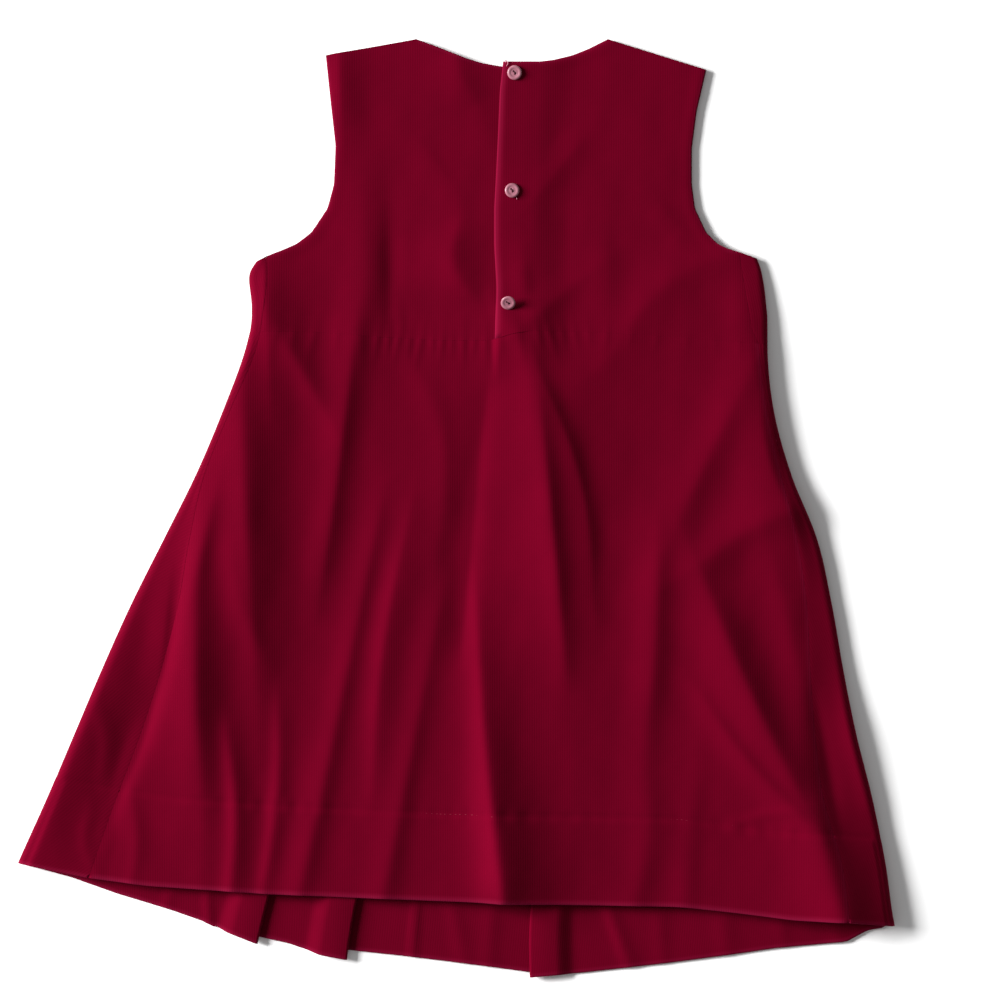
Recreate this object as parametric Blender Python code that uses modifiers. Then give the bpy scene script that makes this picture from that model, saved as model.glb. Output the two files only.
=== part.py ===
# Child's sleeveless corduroy dress, laid flat with its back side up.
# X runs to the picture's right, Y from hem to neck, Z up, and z = 0 is the surface that it lies on.
# The front lies on that surface, and its sides roll over onto the upper side as two strips.
# The back panels lie on top. "Left" and "right" are the wearer's, which are also the picture's here.
import math
from collections import namedtuple

import bpy
import numpy as np

# Driving dimensions, in millimetres
MM = 0.001                 # metres in a millimetre
CLOTH = 1.4                # thickness of the corduroy with its backing
GAP = 0.3                  # clearance at every seam and between touching layers
FLOOR_LEVEL = CLOTH / 2    # middle of the layer that lies on the surface
BODICE_LEVEL = 2.6         # middle of the back bodice, over one front layer
SKIRT_LEVEL = 6.0          # middle of the back skirt, over three layers of front pleat
RISE_TOP = 165             # the upper layer climbs between these two heights of Y
RISE_END = 98
ROLL_WIDTH = 4.5           # half width of the soft roll at each side
ROLL_BEND = 1.1            # tightest bend of that roll, which the cloth can follow
ROLL_SHARE = 0.5           # most of a strip's width that the roll takes
ROLL_STEPS = 6
PLEAT_LAYER = CLOTH + 0.4  # rise from one layer of a pleat to the next
PLEAT_DEPTH_WAIST = 8      # cloth tucked back under a front pleat
PLEAT_DEPTH_HEM = 13
PLEAT_REST = 1.5           # flat top of a pleat beyond its tucked layers
PLEAT_RAMP = 12            # slope from the surface up to a pleat's top
TUCKED_SHORTER = 4         # how far the tucked hem stays inside the hem line
FOLD_STEPS = 4             # steps round a pleat's folded edge
OVERLAP = 21               # width of the button stand under the right back panel
STAND_RISE = CLOTH + 0.7   # how far the right back panel lies above the left one there
STAND_SLOPE = 24           # where the right panel comes down from the button stand
BUTTON_ACROSS = 9
BUTTON_THICK = 2.4
BUTTON_RIM = 1.5           # width of the raised ring
BUTTON_DISH = 0.9          # depth of the hollow inside it
BUTTON_ROUND = 0.6         # rounding of the ring's edges
BUTTON_UNDER = 1.2         # how far the underside draws in, and the height that it does so over
BUTTON_BEVEL = 0.8
BUTTON_STEPS = 20

# Mesh steps
SKIRT_ROWS = 15
BACK_COLUMNS = 56
SIDE_ROWS = 4
ARM_ROWS = 9
SHOULDER_COLUMNS = 6
NECK_COLUMNS = 11
FRONT_NECK_COLUMNS = 10
STRIP_COLUMNS = 4
FLAT_COLUMNS = (5, 1, 2, 10)    # across each stretch of the front skirt that lies flat
RAMP_STEPS = 4

# Both sides of the skirt, from the waist to the hem: where the front folds over, and the side seams
SkirtLevel = namedtuple("SkirtLevel", "y left_fold left_seam right_seam right_fold")
SKIRT_SIDES = (
    SkirtLevel(110, -128, -121, 186, 193),
    SkirtLevel(100, -130.5, -123.5, 187, 193),
    SkirtLevel(60, -145, -140, 192, 197),
    SkirtLevel(20, -162, -156, 201, 208),
    SkirtLevel(-20, -182, -165, 211, 224),
    SkirtLevel(-60, -202, -172, 217, 233),
    SkirtLevel(-100, -220, -183, 219, 240),
    SkirtLevel(-140, -237, -196, 222, 248),
    SkirtLevel(-180, -254, -211, 227, 258),
    SkirtLevel(-220, -272, -225, 238, 266),
    SkirtLevel(-260, -289, -238, 243, 272),
    SkirtLevel(-300, -306, -251, 248, 284),
)

# Points of the seams and edges, each from left to right or from the waist up
Point = namedtuple("Point", "x y")
STAND_FOOT = Point(46, 110)      # where the button stand's free edge meets the waist
BACK_WAIST = (Point(-121, 109.5), Point(-82, 109), Point(-46, 106), Point(-10, 104), Point(21, 104),
              Point(34, 108), STAND_FOOT, Point(89, 109), Point(139, 106), Point(187, 102))
BACK_HEM = (Point(-228, -229), Point(-191, -234), Point(-117, -239), Point(-20, -243), Point(39, -245),
            Point(139, -247), Point(176, -251), Point(209, -255), Point(243, -256))
LEFT_SIDE = (Point(-121, 109.5), Point(-119, 125), Point(-117, 143), Point(-118, 156))
RIGHT_SIDE = (Point(187, 102), Point(183, 111), Point(179, 135), Point(175, 159))
LEFT_ARMHOLE = (Point(-118, 156), Point(-108, 160), Point(-99, 164), Point(-90, 171), Point(-80, 186),
                Point(-76, 201), Point(-75, 225), Point(-78, 253), Point(-81, 281))
RIGHT_ARMHOLE = (Point(175, 159), Point(168, 161), Point(162, 164), Point(155, 171), Point(148, 186),
                 Point(146, 201), Point(146, 223), Point(149, 246), Point(155, 272))
NECK_POINT_LEFT = Point(-25, 291)
NECK_POINT_RIGHT = Point(94, 291)
LEFT_NECK = (Point(-81, 281), Point(-53, 286), NECK_POINT_LEFT, Point(-14, 287), Point(6, 279),
             Point(16, 276), Point(28, 274), Point(49, 273))
RIGHT_NECK = (Point(29, 277), Point(52, 277), Point(60, 278), Point(72, 281), Point(82, 285),
              NECK_POINT_RIGHT, Point(155, 272))
BUTTON_PLACES = (Point(36, 270), Point(34.5, 197), Point(32, 127))
PLACKET = (Point(24, 108), Point(25, 137), Point(23.5, 162), Point(23.5, 186), Point(24.5, 204),
           Point(26, 235), Point(27, 259), Point(29, 277))

# The front, inside the back's outline where it isn't meant to show
FRONT_LEFT_FOLD = (Point(-128, 110), Point(-127, 117), Point(-127, 127), Point(-129, 142), Point(-128, 151))
FRONT_RIGHT_FOLD = (Point(193, 101.5), Point(193, 110), Point(193, 119), Point(191, 138), Point(188, 153))
FRONT_LEFT_ARMHOLE = (Point(-128, 151), Point(-112, 156), Point(-96, 163), Point(-85, 173), Point(-77, 186),
                      Point(-73, 201), Point(-72, 225), Point(-75, 253), Point(-80, 280))
FRONT_RIGHT_ARMHOLE = (Point(188, 153), Point(172, 158), Point(159, 163), Point(151, 172), Point(145, 187),
                       Point(143, 201), Point(143, 223), Point(146, 246), Point(153, 271))
FRONT_TOP = (Point(-80, 280), Point(-27, 289), Point(-21, 262), Point(-8, 244), Point(12, 234),
             Point(35, 231), Point(58, 234), Point(78, 244), Point(91, 262), Point(97, 288), Point(153, 271))

# The front's hem in four stretches, parted by its three pleats
FRONT_HEM = (
    (Point(-272, -220), Point(-239, -229), Point(-211, -239), Point(-178, -249), Point(-158, -256),
     Point(-144, -263), Point(-124, -270)),
    (Point(-122, -266), Point(-104, -270), Point(-85, -277), Point(-69, -280)),
    (Point(-68, -274), Point(-31, -278), Point(17, -284), Point(46, -288)),
    (Point(46, -291), Point(80, -288), Point(133, -282), Point(178, -276), Point(198, -273),
     Point(242, -269), Point(255, -262), Point(272, -259)),
)

# A front pleat: its folded edge, as a share of the way across, and the side that lies on top
Pleat = namedtuple("Pleat", "across on_top")
FRONT_PLEATS = (Pleat(0.298, "left"), Pleat(0.398, "left"), Pleat(0.597, "right"))

# Ridges, and troughs where the height is negative, on the upper side. Each follows a curve through a
# start, a middle and an end, has a height at each, and falls away over its own width on each side.
# Its widths are those at its start, and flare is how many times wider it is at its end.
Fold = namedtuple("Fold", "x0 y0 x1 y1 x2 y2 start middle end left right flare")
FOLDS = (
    Fold(16, 15, 13, -100, 30, -250, 0.8, 5, 9.5, 5, 13, 2.1),           # long ridge down the centre back
    Fold(47, 100, 55, 10, 68, -90, 2, 5, 2, 16, 5, 2),                   # broad ridge below the placket
    Fold(54, 92, 79, 22, 90, -60, 1, 1.2, 1, 8, 4, 1.5),                 # from the placket to the right
    Fold(-153, 22, -162, -50, -194, -160, 1.5, 5, 3, 8, 14, 1.2),        # left side, near the seam
    Fold(-132, 106, -126, 20, -112, -90, 3, 6.5, 2, 26, 18, 0.8),        # left of the hollow at the side
    Fold(-66, 98, -79, -10, -96, -120, 1.5, 2.8, 1.5, 14, 6, 1.2),       # left of the middle
    Fold(-62, 0, -72, -80, -92, -200, 1, 1.8, 1.4, 9, 6, 1.3),
    Fold(-30, 10, -39, -90, -52, -200, 0.6, 1.8, 1.2, 5, 10, 1.5),
    Fold(-10, -20, -24, -110, -46, -250, 0.8, 1.8, 2.2, 10, 5, 1.4),
    Fold(-148, -130, -147, -190, -145, -250, 0.5, 2, 2, 5, 8, 1.2),      # two short ones at the left hem
    Fold(-113, -110, -118, -180, -124, -250, 0.5, 2, 2, 6, 8, 1.2),
    Fold(110, 20, 114, -70, 104, -250, 1, 2.2, 1.5, 9, 14, 1.2),         # right of the middle
    Fold(146, -38, 170, -112, 216, -196, 3.5, 5.5, 2.5, 22, 16, 0.8),    # towards the right hem corner
    Fold(170, 96, 138, 24, 128, -20, 1.5, 2, 1, 18, 9, 1),
    Fold(220, -95, 228, -180, 240, -262, 0.5, 3.5, 4.5, 8, 26, 1),       # on the right side strip
    Fold(-216, -60, -228, -110, -246, -170, 1, 2.6, 1, 6, 12, 1.2),      # on the left side strip
    Fold(-123, 172, -123, 135, -127, 96, 2.4, 2, 0, 7, 9, 1),            # rolls of the bodice's sides
    Fold(188, 172, 188, 135, 190, 96, 2.2, 2, 0, 9, 7, 1),
    Fold(-36, 196, -35, 150, -41, 108, 0.5, 1.4, 0.8, 10, 6, 1),         # from the left armhole to the waist
    Fold(172, 152, 132, 136, 98, 96, 0.8, 1.8, 0.6, 11, 10, 1.3),        # from the right armhole to the waist
)


def smoothstep(share):
    """0 to 1 with level ends."""
    share = np.clip(share, 0, 1)
    return share * share * (3 - 2 * share)


def fold_height(fold, x, y):
    """Height that one fold adds: its height along the curve times a bell across it."""
    run = np.array([fold.x2 - fold.x0, fold.y2 - fold.y0], float)
    length = np.hypot(*run)
    along_x, along_y = run / length
    middle = ((fold.x1 - fold.x0) * along_x + (fold.y1 - fold.y0) * along_y) / length
    bulge = (fold.y1 - fold.y0) * along_x - (fold.x1 - fold.x0) * along_y
    way = ((x - fold.x0) * along_x + (y - fold.y0) * along_y) / length
    on = np.clip(way, 0, 1)
    side = (y - fold.y0) * along_x - (x - fold.x0) * along_y
    side = side - bulge * on * (1 - on) / (middle * (1 - middle))
    crest = fold.start * (1 - on) ** 2 + 2 * (2 * fold.middle - (fold.start + fold.end) / 2) * on * (1 - on)
    crest = crest + fold.end * on ** 2
    wide = np.where(side < 0, fold.left, fold.right) * (1 + (fold.flare - 1) * on)
    past = (way - on) * length / (fold.left + fold.right)
    return crest * np.exp(-(side / wide) ** 2 - past ** 2)


def upper_height(x, y):
    """Middle of the upper layer: the bodice's level, the skirt's, and the folds on both."""
    level = BODICE_LEVEL + (SKIRT_LEVEL - BODICE_LEVEL) * smoothstep((RISE_TOP - y) / (RISE_TOP - RISE_END))
    return level + sum(fold_height(fold, x, y) for fold in FOLDS)


def stand_lift(x, y):
    """Extra height of the right back panel, which lies on the left one's button stand."""
    edge = np.interp(y, [p.y for p in PLACKET], [p.x for p in PLACKET])
    return STAND_RISE * (1 - smoothstep((x - edge - OVERLAP - 2) / STAND_SLOPE))


def side_x(column, y):
    """X of a fold or seam of the skirt at the height y, on a smooth curve through the levels."""
    heights = np.array([level.y for level in SKIRT_SIDES], float)[::-1]
    places = np.array([getattr(level, column) for level in SKIRT_SIDES], float)[::-1]
    slopes = np.gradient(places, heights)
    y = np.clip(np.asarray(y, float), heights[0], heights[-1])
    lower = np.clip(np.searchsorted(heights, y, side="right") - 1, 0, len(heights) - 2)
    step = heights[lower + 1] - heights[lower]
    t = (y - heights[lower]) / step
    value = (2 * t ** 3 - 3 * t ** 2 + 1) * places[lower] + (3 * t ** 2 - 2 * t ** 3) * places[lower + 1]
    tangent = (t ** 3 - 2 * t ** 2 + t) * slopes[lower] + (t ** 3 - t ** 2) * slopes[lower + 1]
    return value + step * tangent


def sample(points, count):
    """An edge as count + 1 points an equal way apart along it."""
    path = np.array(points, float)
    way = np.concatenate([[0], np.cumsum(np.hypot(*np.diff(path, axis=0).T))])
    at = np.linspace(0, way[-1], count + 1)
    return np.column_stack([np.interp(at, way, path[:, 0]), np.interp(at, way, path[:, 1])])


def by_width(points, shares):
    """An edge at given shares of its width, from its first to its last X."""
    path = np.array(points, float)
    x = path[0, 0] + (path[-1, 0] - path[0, 0]) * np.asarray(shares)
    return np.column_stack([x, np.interp(x, path[:, 0], path[:, 1])])


def by_height(points, shares):
    """An edge at given shares of its height, from its first to its last Y."""
    path = np.array(points, float)
    y = path[0, 1] + (path[-1, 1] - path[0, 1]) * np.asarray(shares)
    return np.column_stack([np.interp(y, path[:, 1], path[:, 0]), y])


def shares_of(edge, axis):
    """How far each point of an edge has come, from 0 to 1, along X or Y."""
    return (edge[:, axis] - edge[0, axis]) / (edge[-1, axis] - edge[0, axis])


def between_edges(bottom, top, left, right):
    """Points of a panel between its four edges: the two ruled surfaces less the corners' own."""
    u = ((shares_of(bottom, 0) + shares_of(top, 0)) / 2)[None, :, None]
    v = ((shares_of(left, 1) + shares_of(right, 1)) / 2)[:, None, None]
    ruled = (1 - u) * left[:, None] + u * right[:, None] + (1 - v) * bottom[None] + v * top[None]
    corners = (1 - v) * ((1 - u) * bottom[0] + u * bottom[-1]) + v * ((1 - u) * top[0] + u * top[-1])
    return ruled - corners


def side_strip(fold, seam, inward):
    """Upper strip and roll at one side, from the seam round to the floor, for each row of the panel.

    The roll is half an ellipse between the strip and the floor layer."""
    room = np.minimum(ROLL_WIDTH, ROLL_SHARE * np.abs(seam[:, 0] - fold[:, 0]))
    half = (upper_height(fold[:, 0] + inward * room, fold[:, 1]) - FLOOR_LEVEL) / 2
    wide = np.minimum(room, half ** 2 / ROLL_BEND)
    turn = np.linspace(0, math.pi, ROLL_STEPS + 1)[None, :]
    roll_x = fold[:, :1] + inward * (CLOTH / 2 + wide[:, None] * (1 - np.sin(turn)))
    roll_z = FLOOR_LEVEL + half[:, None] * (1 + np.cos(turn))
    share = np.linspace(0, 1, STRIP_COLUMNS + 1)[None, :-1]
    seam_x = seam[:, :1] - inward * GAP / 2
    strip_x = seam_x + share * (roll_x[:, :1] - seam_x)
    x = np.concatenate([strip_x, roll_x], axis=1)
    inside = np.clip((x - seam_x) / (fold[:, :1] - seam_x), 0, 1)
    inside[:, STRIP_COLUMNS + ROLL_STEPS // 2:] = 1
    y = seam[:, 1:] + inside * (fold[:, 1:] - seam[:, 1:])
    meet = roll_z[:, :1] - upper_height(roll_x[:, :1], y[:, STRIP_COLUMNS:STRIP_COLUMNS + 1])
    strip_z = upper_height(strip_x, y[:, :STRIP_COLUMNS]) + smoothstep(share) * meet
    return np.stack([x, y, np.concatenate([strip_z, roll_z], axis=1)], axis=-1)


def pleat_section(on_top):
    """Points along the cloth of a pleat, from left to right: offsets from its folded edge, the share of
    the pleat's depth that adds to each, Z, and whose hem it has: 0 the upper, 1 the tucked, 2 the lower."""
    bend = PLEAT_LAYER / 2
    low, middle, high = FLOOR_LEVEL, FLOOR_LEVEL + PLEAT_LAYER, FLOOR_LEVEL + 2 * PLEAT_LAYER
    turn = np.linspace(math.pi / 2, -math.pi / 2, FOLD_STEPS + 1)
    ramp = np.linspace(0, 1, RAMP_STEPS + 1)
    offset = np.concatenate([-bend - PLEAT_REST - PLEAT_RAMP * (1 - ramp), bend * (np.cos(turn) - 1),
                             -bend * np.cos(turn), [PLEAT_REST]])
    deep = np.repeat([-1, 0, -1, 0], [len(ramp), len(turn), len(turn), 1])
    z = np.concatenate([low + (high - low) * smoothstep(ramp), (middle + high) / 2 + bend * np.sin(turn),
                        (low + middle) / 2 + bend * np.sin(turn), [low]])
    layer = np.repeat([0, 1, 2], [len(ramp) + len(turn), len(turn), 1])
    if on_top == "right":
        return -offset[::-1], -deep[::-1], z[::-1], layer[::-1]
    return offset, deep, z, layer


def pleat_edge(across, y):
    """X of a pleat's folded edge at the height y: a fixed share of the way between the skirt's sides."""
    return (1 - across) * side_x("left_fold", y) + across * side_x("right_fold", y)


def pleat_depth(y):
    """How much cloth a pleat tucks back at the height y."""
    down = (FRONT_LEFT_FOLD[0].y - y) / (FRONT_LEFT_FOLD[0].y - FRONT_HEM[-1][0].y)
    return PLEAT_DEPTH_WAIST + (PLEAT_DEPTH_HEM - PLEAT_DEPTH_WAIST) * down


def y_at(points, x):
    """Y of a seam or hem at X."""
    return np.interp(x, [p.x for p in points], [p.y for p in points])


def material(name, colour, roughness, metallic=0.0):
    made = bpy.data.materials.new(name)
    made.use_nodes = True
    shader = made.node_tree.nodes["Principled BSDF"]
    shader.inputs["Base Color"].default_value = (*colour, 1.0)
    shader.inputs["Roughness"].default_value = roughness
    shader.inputs["Metallic"].default_value = metallic
    made.diffuse_color = (*colour, 1.0)
    return made


def add_object(name, mesh, made_of, collection):
    mesh.materials.append(made_of)
    thing = bpy.data.objects.new(name, mesh)
    collection.objects.link(thing)
    return thing


def add_wall(name, points, made_of, collection, keep=None):
    """A panel from a grid of its middle points in millimetres, with Solidify as the cloth's thickness."""
    rows, columns = points.shape[:2]
    number = np.arange(rows * columns).reshape(rows, columns)
    quads = np.stack([number[:-1, :-1], number[:-1, 1:], number[1:, 1:], number[1:, :-1]], axis=-1)
    quads = quads.reshape(-1, 4) if keep is None else quads[keep]
    used, faces = np.unique(quads, return_inverse=True)
    mesh = bpy.data.meshes.new(name)
    mesh.from_pydata((points.reshape(-1, 3)[used] * MM).tolist(), [], faces.reshape(-1, 4).tolist())
    panel = add_object(name, mesh, made_of, collection)
    wall = panel.modifiers.new("Cloth thickness", "SOLIDIFY")
    wall.thickness = CLOTH * MM
    wall.offset = 0
    return panel


def flat_rows(points, height):
    """Adds one height to a panel's plan points."""
    return np.concatenate([points, np.full(points.shape[:2] + (1,), height)], axis=-1)


def raised(points, lift=None):
    """Adds the upper layer's height to a panel's plan points."""
    x, y = points[..., 0], points[..., 1]
    z = upper_height(x, y)
    if lift is not None:
        z = z + lift(x, y)
    return np.stack([x, y, z], axis=-1)


def seam_rows(low, high, column):
    """One edge of the skirt, a point for each row, between two heights of Y."""
    y = np.linspace(low, high, SKIRT_ROWS + 1)
    return np.column_stack([side_x(column, y), y])


def moved(edge, x=0.0, y=0.0):
    return edge + np.array([x, y])


def make_back_skirt(cloth, collection):
    """Back skirt, from the waist seam to its hem, between the two side seams."""
    left = moved(seam_rows(BACK_WAIST[0].y - GAP, BACK_HEM[0].y, "left_seam"), x=GAP / 2)
    right = moved(seam_rows(BACK_WAIST[-1].y - GAP, BACK_HEM[-1].y, "right_seam"), x=-GAP / 2)
    share = np.linspace(0, 1, BACK_COLUMNS + 1)
    waist = moved(by_width(BACK_WAIST, share), y=-GAP)
    hem = by_width(BACK_HEM, share)
    waist[0], waist[-1] = left[0], right[0]
    hem[0], hem[-1] = left[-1], right[-1]
    plan = between_edges(waist, hem, left, right)
    return add_wall("back_skirt", raised(plan)[::-1], cloth, collection)


def make_back_left(cloth, collection):
    """Left half of the back bodice, which runs on under the right half as its button stand."""
    side = np.concatenate([sample(LEFT_SIDE, SIDE_ROWS), sample(LEFT_ARMHOLE, ARM_ROWS)[1:]])
    side = moved(side, x=GAP / 2)
    neck = LEFT_NECK.index(NECK_POINT_LEFT)
    top = np.concatenate([sample(LEFT_NECK[:neck + 1], SHOULDER_COLUMNS),
                          sample(LEFT_NECK[neck:], NECK_COLUMNS)[1:]])
    top[0] = side[-1]
    stand = by_height(PLACKET, shares_of(side, 1))
    stand = np.column_stack([stand[:, 0] + OVERLAP, np.linspace(STAND_FOOT.y, top[-1, 1], len(side))])
    stand[-1] = top[-1]
    waist = by_width(BACK_WAIST[:BACK_WAIST.index(STAND_FOOT) + 1], shares_of(top, 0))
    waist[0], waist[-1] = side[0], stand[0]
    panel = between_edges(waist, top, side, stand)
    return add_wall("back_bodice_left", raised(panel), cloth, collection)


def make_back_right(cloth, collection):
    """Right half of the back bodice, from its folded placket edge to the side seam."""
    side = np.concatenate([sample(RIGHT_SIDE, SIDE_ROWS), sample(RIGHT_ARMHOLE, ARM_ROWS)[1:]])
    side = moved(side, x=-GAP / 2)
    neck = RIGHT_NECK.index(NECK_POINT_RIGHT)
    top = np.concatenate([sample(RIGHT_NECK[:neck + 1], NECK_COLUMNS),
                          sample(RIGHT_NECK[neck:], SHOULDER_COLUMNS)[1:]])
    top[-1] = side[-1]
    edge = by_height(PLACKET, shares_of(side, 1))
    edge[-1] = top[0]
    waist = by_width((PLACKET[0],) + BACK_WAIST[BACK_WAIST.index(STAND_FOOT):], shares_of(top, 0))
    waist[0], waist[-1] = edge[0], side[0]
    panel = between_edges(waist, top, edge, side)
    return add_wall("back_bodice_right", raised(panel, stand_lift), cloth, collection)


def make_front_bodice(cloth, collection):
    """Front bodice: the flat panel, and the strips that roll over at its sides below the armholes."""
    left_fold = sample(FRONT_LEFT_FOLD, SIDE_ROWS)
    right_fold = sample(FRONT_RIGHT_FOLD, SIDE_ROWS)
    left = np.concatenate([left_fold, sample(FRONT_LEFT_ARMHOLE, ARM_ROWS)[1:]])
    right = np.concatenate([right_fold, sample(FRONT_RIGHT_ARMHOLE, ARM_ROWS)[1:]])
    left_strip = side_strip(left_fold, sample(LEFT_SIDE, SIDE_ROWS), 1)
    right_strip = side_strip(right_fold, sample(RIGHT_SIDE, SIDE_ROWS), -1)[:, ::-1]
    left[:SIDE_ROWS + 1] = left_strip[:, -1, :2]
    right[:SIDE_ROWS + 1] = right_strip[:, 0, :2]

    top = np.concatenate([sample(FRONT_TOP[:2], SHOULDER_COLUMNS),
                          sample(FRONT_TOP[1:-1], FRONT_NECK_COLUMNS)[1:],
                          sample(FRONT_TOP[-2:], SHOULDER_COLUMNS)[1:]])
    waist = np.column_stack([left[0, 0] + (right[0, 0] - left[0, 0]) * shares_of(top, 0),
                             left[0, 1] + (right[0, 1] - left[0, 1]) * shares_of(top, 0)])
    floor = flat_rows(between_edges(waist, top, left, right), FLOOR_LEVEL)

    beside = left_strip.shape[1] - 1
    points = np.zeros((floor.shape[0], floor.shape[1] + 2 * beside, 3))
    points[:, beside:-beside] = floor
    points[:SIDE_ROWS + 1, :beside] = left_strip[:, :-1]
    points[:SIDE_ROWS + 1, -beside:] = right_strip[:, 1:]
    keep = np.ones((points.shape[0] - 1, points.shape[1] - 1), bool)
    keep[SIDE_ROWS:, :beside] = False
    keep[SIDE_ROWS:, -beside:] = False
    return add_wall("front_bodice", points, cloth, collection, keep)


def place_pleat(pleat, waist, left_hem, right_hem):
    """A pleat's columns, from the waist to the hem. The tucked layer's hem stays inside the others'."""
    offset, deep, z, layer = pleat_section(pleat.on_top)
    over, under = (right_hem, left_hem) if pleat.on_top == "right" else (left_hem, right_hem)
    end_y = (left_hem[-1].y + right_hem[0].y) / 2
    end_x = pleat_edge(pleat.across, end_y) + offset + deep * PLEAT_DEPTH_HEM
    over_y, under_y = y_at(over, end_x), y_at(under, end_x)
    tucked_y = np.maximum(over_y, under_y) + TUCKED_SHORTER
    hem_y = np.choose(layer, [over_y, tucked_y, under_y])
    waist_x = pleat_edge(pleat.across, waist[0].y) + offset + deep * PLEAT_DEPTH_WAIST
    down = np.linspace(0, 1, SKIRT_ROWS + 1)[:, None]
    y = (1 - down) * y_at(waist, waist_x) + down * hem_y
    x = pleat_edge(pleat.across, y) + offset + deep * pleat_depth(y)
    return np.stack([x, y, np.broadcast_to(z, x.shape)], axis=-1)


def place_flat(left, right, columns, waist, hem):
    """Columns that lie on the surface between two others, each from the waist to the hem's table."""
    share = np.linspace(0, 1, columns + 2)[None, 1:-1]
    x = left[:, :1] + share * (right[:, :1] - left[:, :1])
    down = np.linspace(0, 1, SKIRT_ROWS + 1)[:, None]
    y = (1 - down) * y_at(waist, x[0]) + down * y_at(hem, x[-1])
    return np.stack([x, y, np.full(x.shape, FLOOR_LEVEL)], axis=-1)


def make_front_skirt(cloth, collection):
    """Front skirt: floor layer with three pleats, rolls at its sides, and the upper strips to the seams."""
    waist_left, waist_right = FRONT_LEFT_FOLD[0], FRONT_RIGHT_FOLD[0]
    left_fold = seam_rows(waist_left.y - GAP, FRONT_HEM[0][0].y, "left_fold")
    right_fold = seam_rows(waist_right.y - GAP, FRONT_HEM[-1][-1].y, "right_fold")
    left_seam = seam_rows(BACK_WAIST[0].y - GAP, BACK_HEM[0].y, "left_seam")
    right_seam = seam_rows(BACK_WAIST[-1].y - GAP, BACK_HEM[-1].y, "right_seam")
    left_strip = side_strip(left_fold, left_seam, 1)
    right_strip = side_strip(right_fold, right_seam, -1)[:, ::-1]
    waist = (Point(*left_fold[0]), Point(*right_fold[0]))

    stretches = [left_strip]
    pleats = [place_pleat(pleat, waist, left_hem, right_hem)
              for pleat, left_hem, right_hem in zip(FRONT_PLEATS, FRONT_HEM[:-1], FRONT_HEM[1:])]
    for columns, hem, right in zip(FLAT_COLUMNS, FRONT_HEM, pleats + [right_strip]):
        flat = place_flat(stretches[-1][:, -1], right[:, 0], columns, waist, hem)
        stretches += [flat, right]
    points = np.concatenate(stretches, axis=1)
    return add_wall("front_skirt", points[::-1], cloth, collection)


def make_buttons(pearl, collection):
    """Three dished buttons in a row on the right back panel, a turned profile each."""
    half = BUTTON_ACROSS / 2
    ring = half - BUTTON_RIM
    hollow = BUTTON_THICK - BUTTON_DISH
    profile = ((0, hollow), (ring - BUTTON_ROUND, hollow), (ring, BUTTON_THICK),
               (half - BUTTON_ROUND, BUTTON_THICK), (half, BUTTON_THICK - BUTTON_ROUND),
               (half, BUTTON_BEVEL), (half - BUTTON_UNDER, 0), (0, 0))
    around = np.linspace(0, 2 * math.pi, BUTTON_STEPS)
    for number, place in enumerate(BUTTON_PLACES, start=1):
        x, y = place.x + half * np.cos(around), place.y + half * np.sin(around)
        rest = np.max(upper_height(x, y) + stand_lift(x, y)) + CLOTH / 2 + GAP
        mesh = bpy.data.meshes.new(f"button_{number}")
        points = [(radius * MM, 0, z * MM) for radius, z in profile]
        mesh.from_pydata(points, [(i, i + 1) for i in range(len(points) - 1)], [])
        button = add_object(f"button_{number}", mesh, pearl, collection)
        button.location = (place.x * MM, place.y * MM, rest * MM)
        turned = button.modifiers.new("Turned", "SCREW")
        turned.steps = BUTTON_STEPS
        turned.render_steps = BUTTON_STEPS
        turned.use_merge_vertices = True
        turned.merge_threshold = 0.00001


def main():
    for old in list(bpy.data.objects):
        bpy.data.objects.remove(old)
    dress = bpy.data.collections.new("corduroy dress")
    bpy.context.scene.collection.children.link(dress)
    cloth = material("crimson corduroy", (0.16, 0.002, 0.014), 0.85)
    pearl = material("mauve pearl button", (0.55, 0.36, 0.42), 0.3)
    make_front_bodice(cloth, dress)
    make_front_skirt(cloth, dress)
    make_back_left(cloth, dress)
    make_back_right(cloth, dress)
    make_back_skirt(cloth, dress)
    make_buttons(pearl, dress)


main()
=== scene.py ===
# %% [markdown]
# # A child's corduroy dress, laid flat with its back up
# The dress lies on a pale table. Its front is underneath, and rolls over at both sides onto the upper side,
# where the back panels cover it. The first cell loads the rigid model that gives every piece its place.
# All sizes below are in millimetres, and become metres where a mesh is made.

# %% Load the rigid model
import math
from collections import namedtuple

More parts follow.
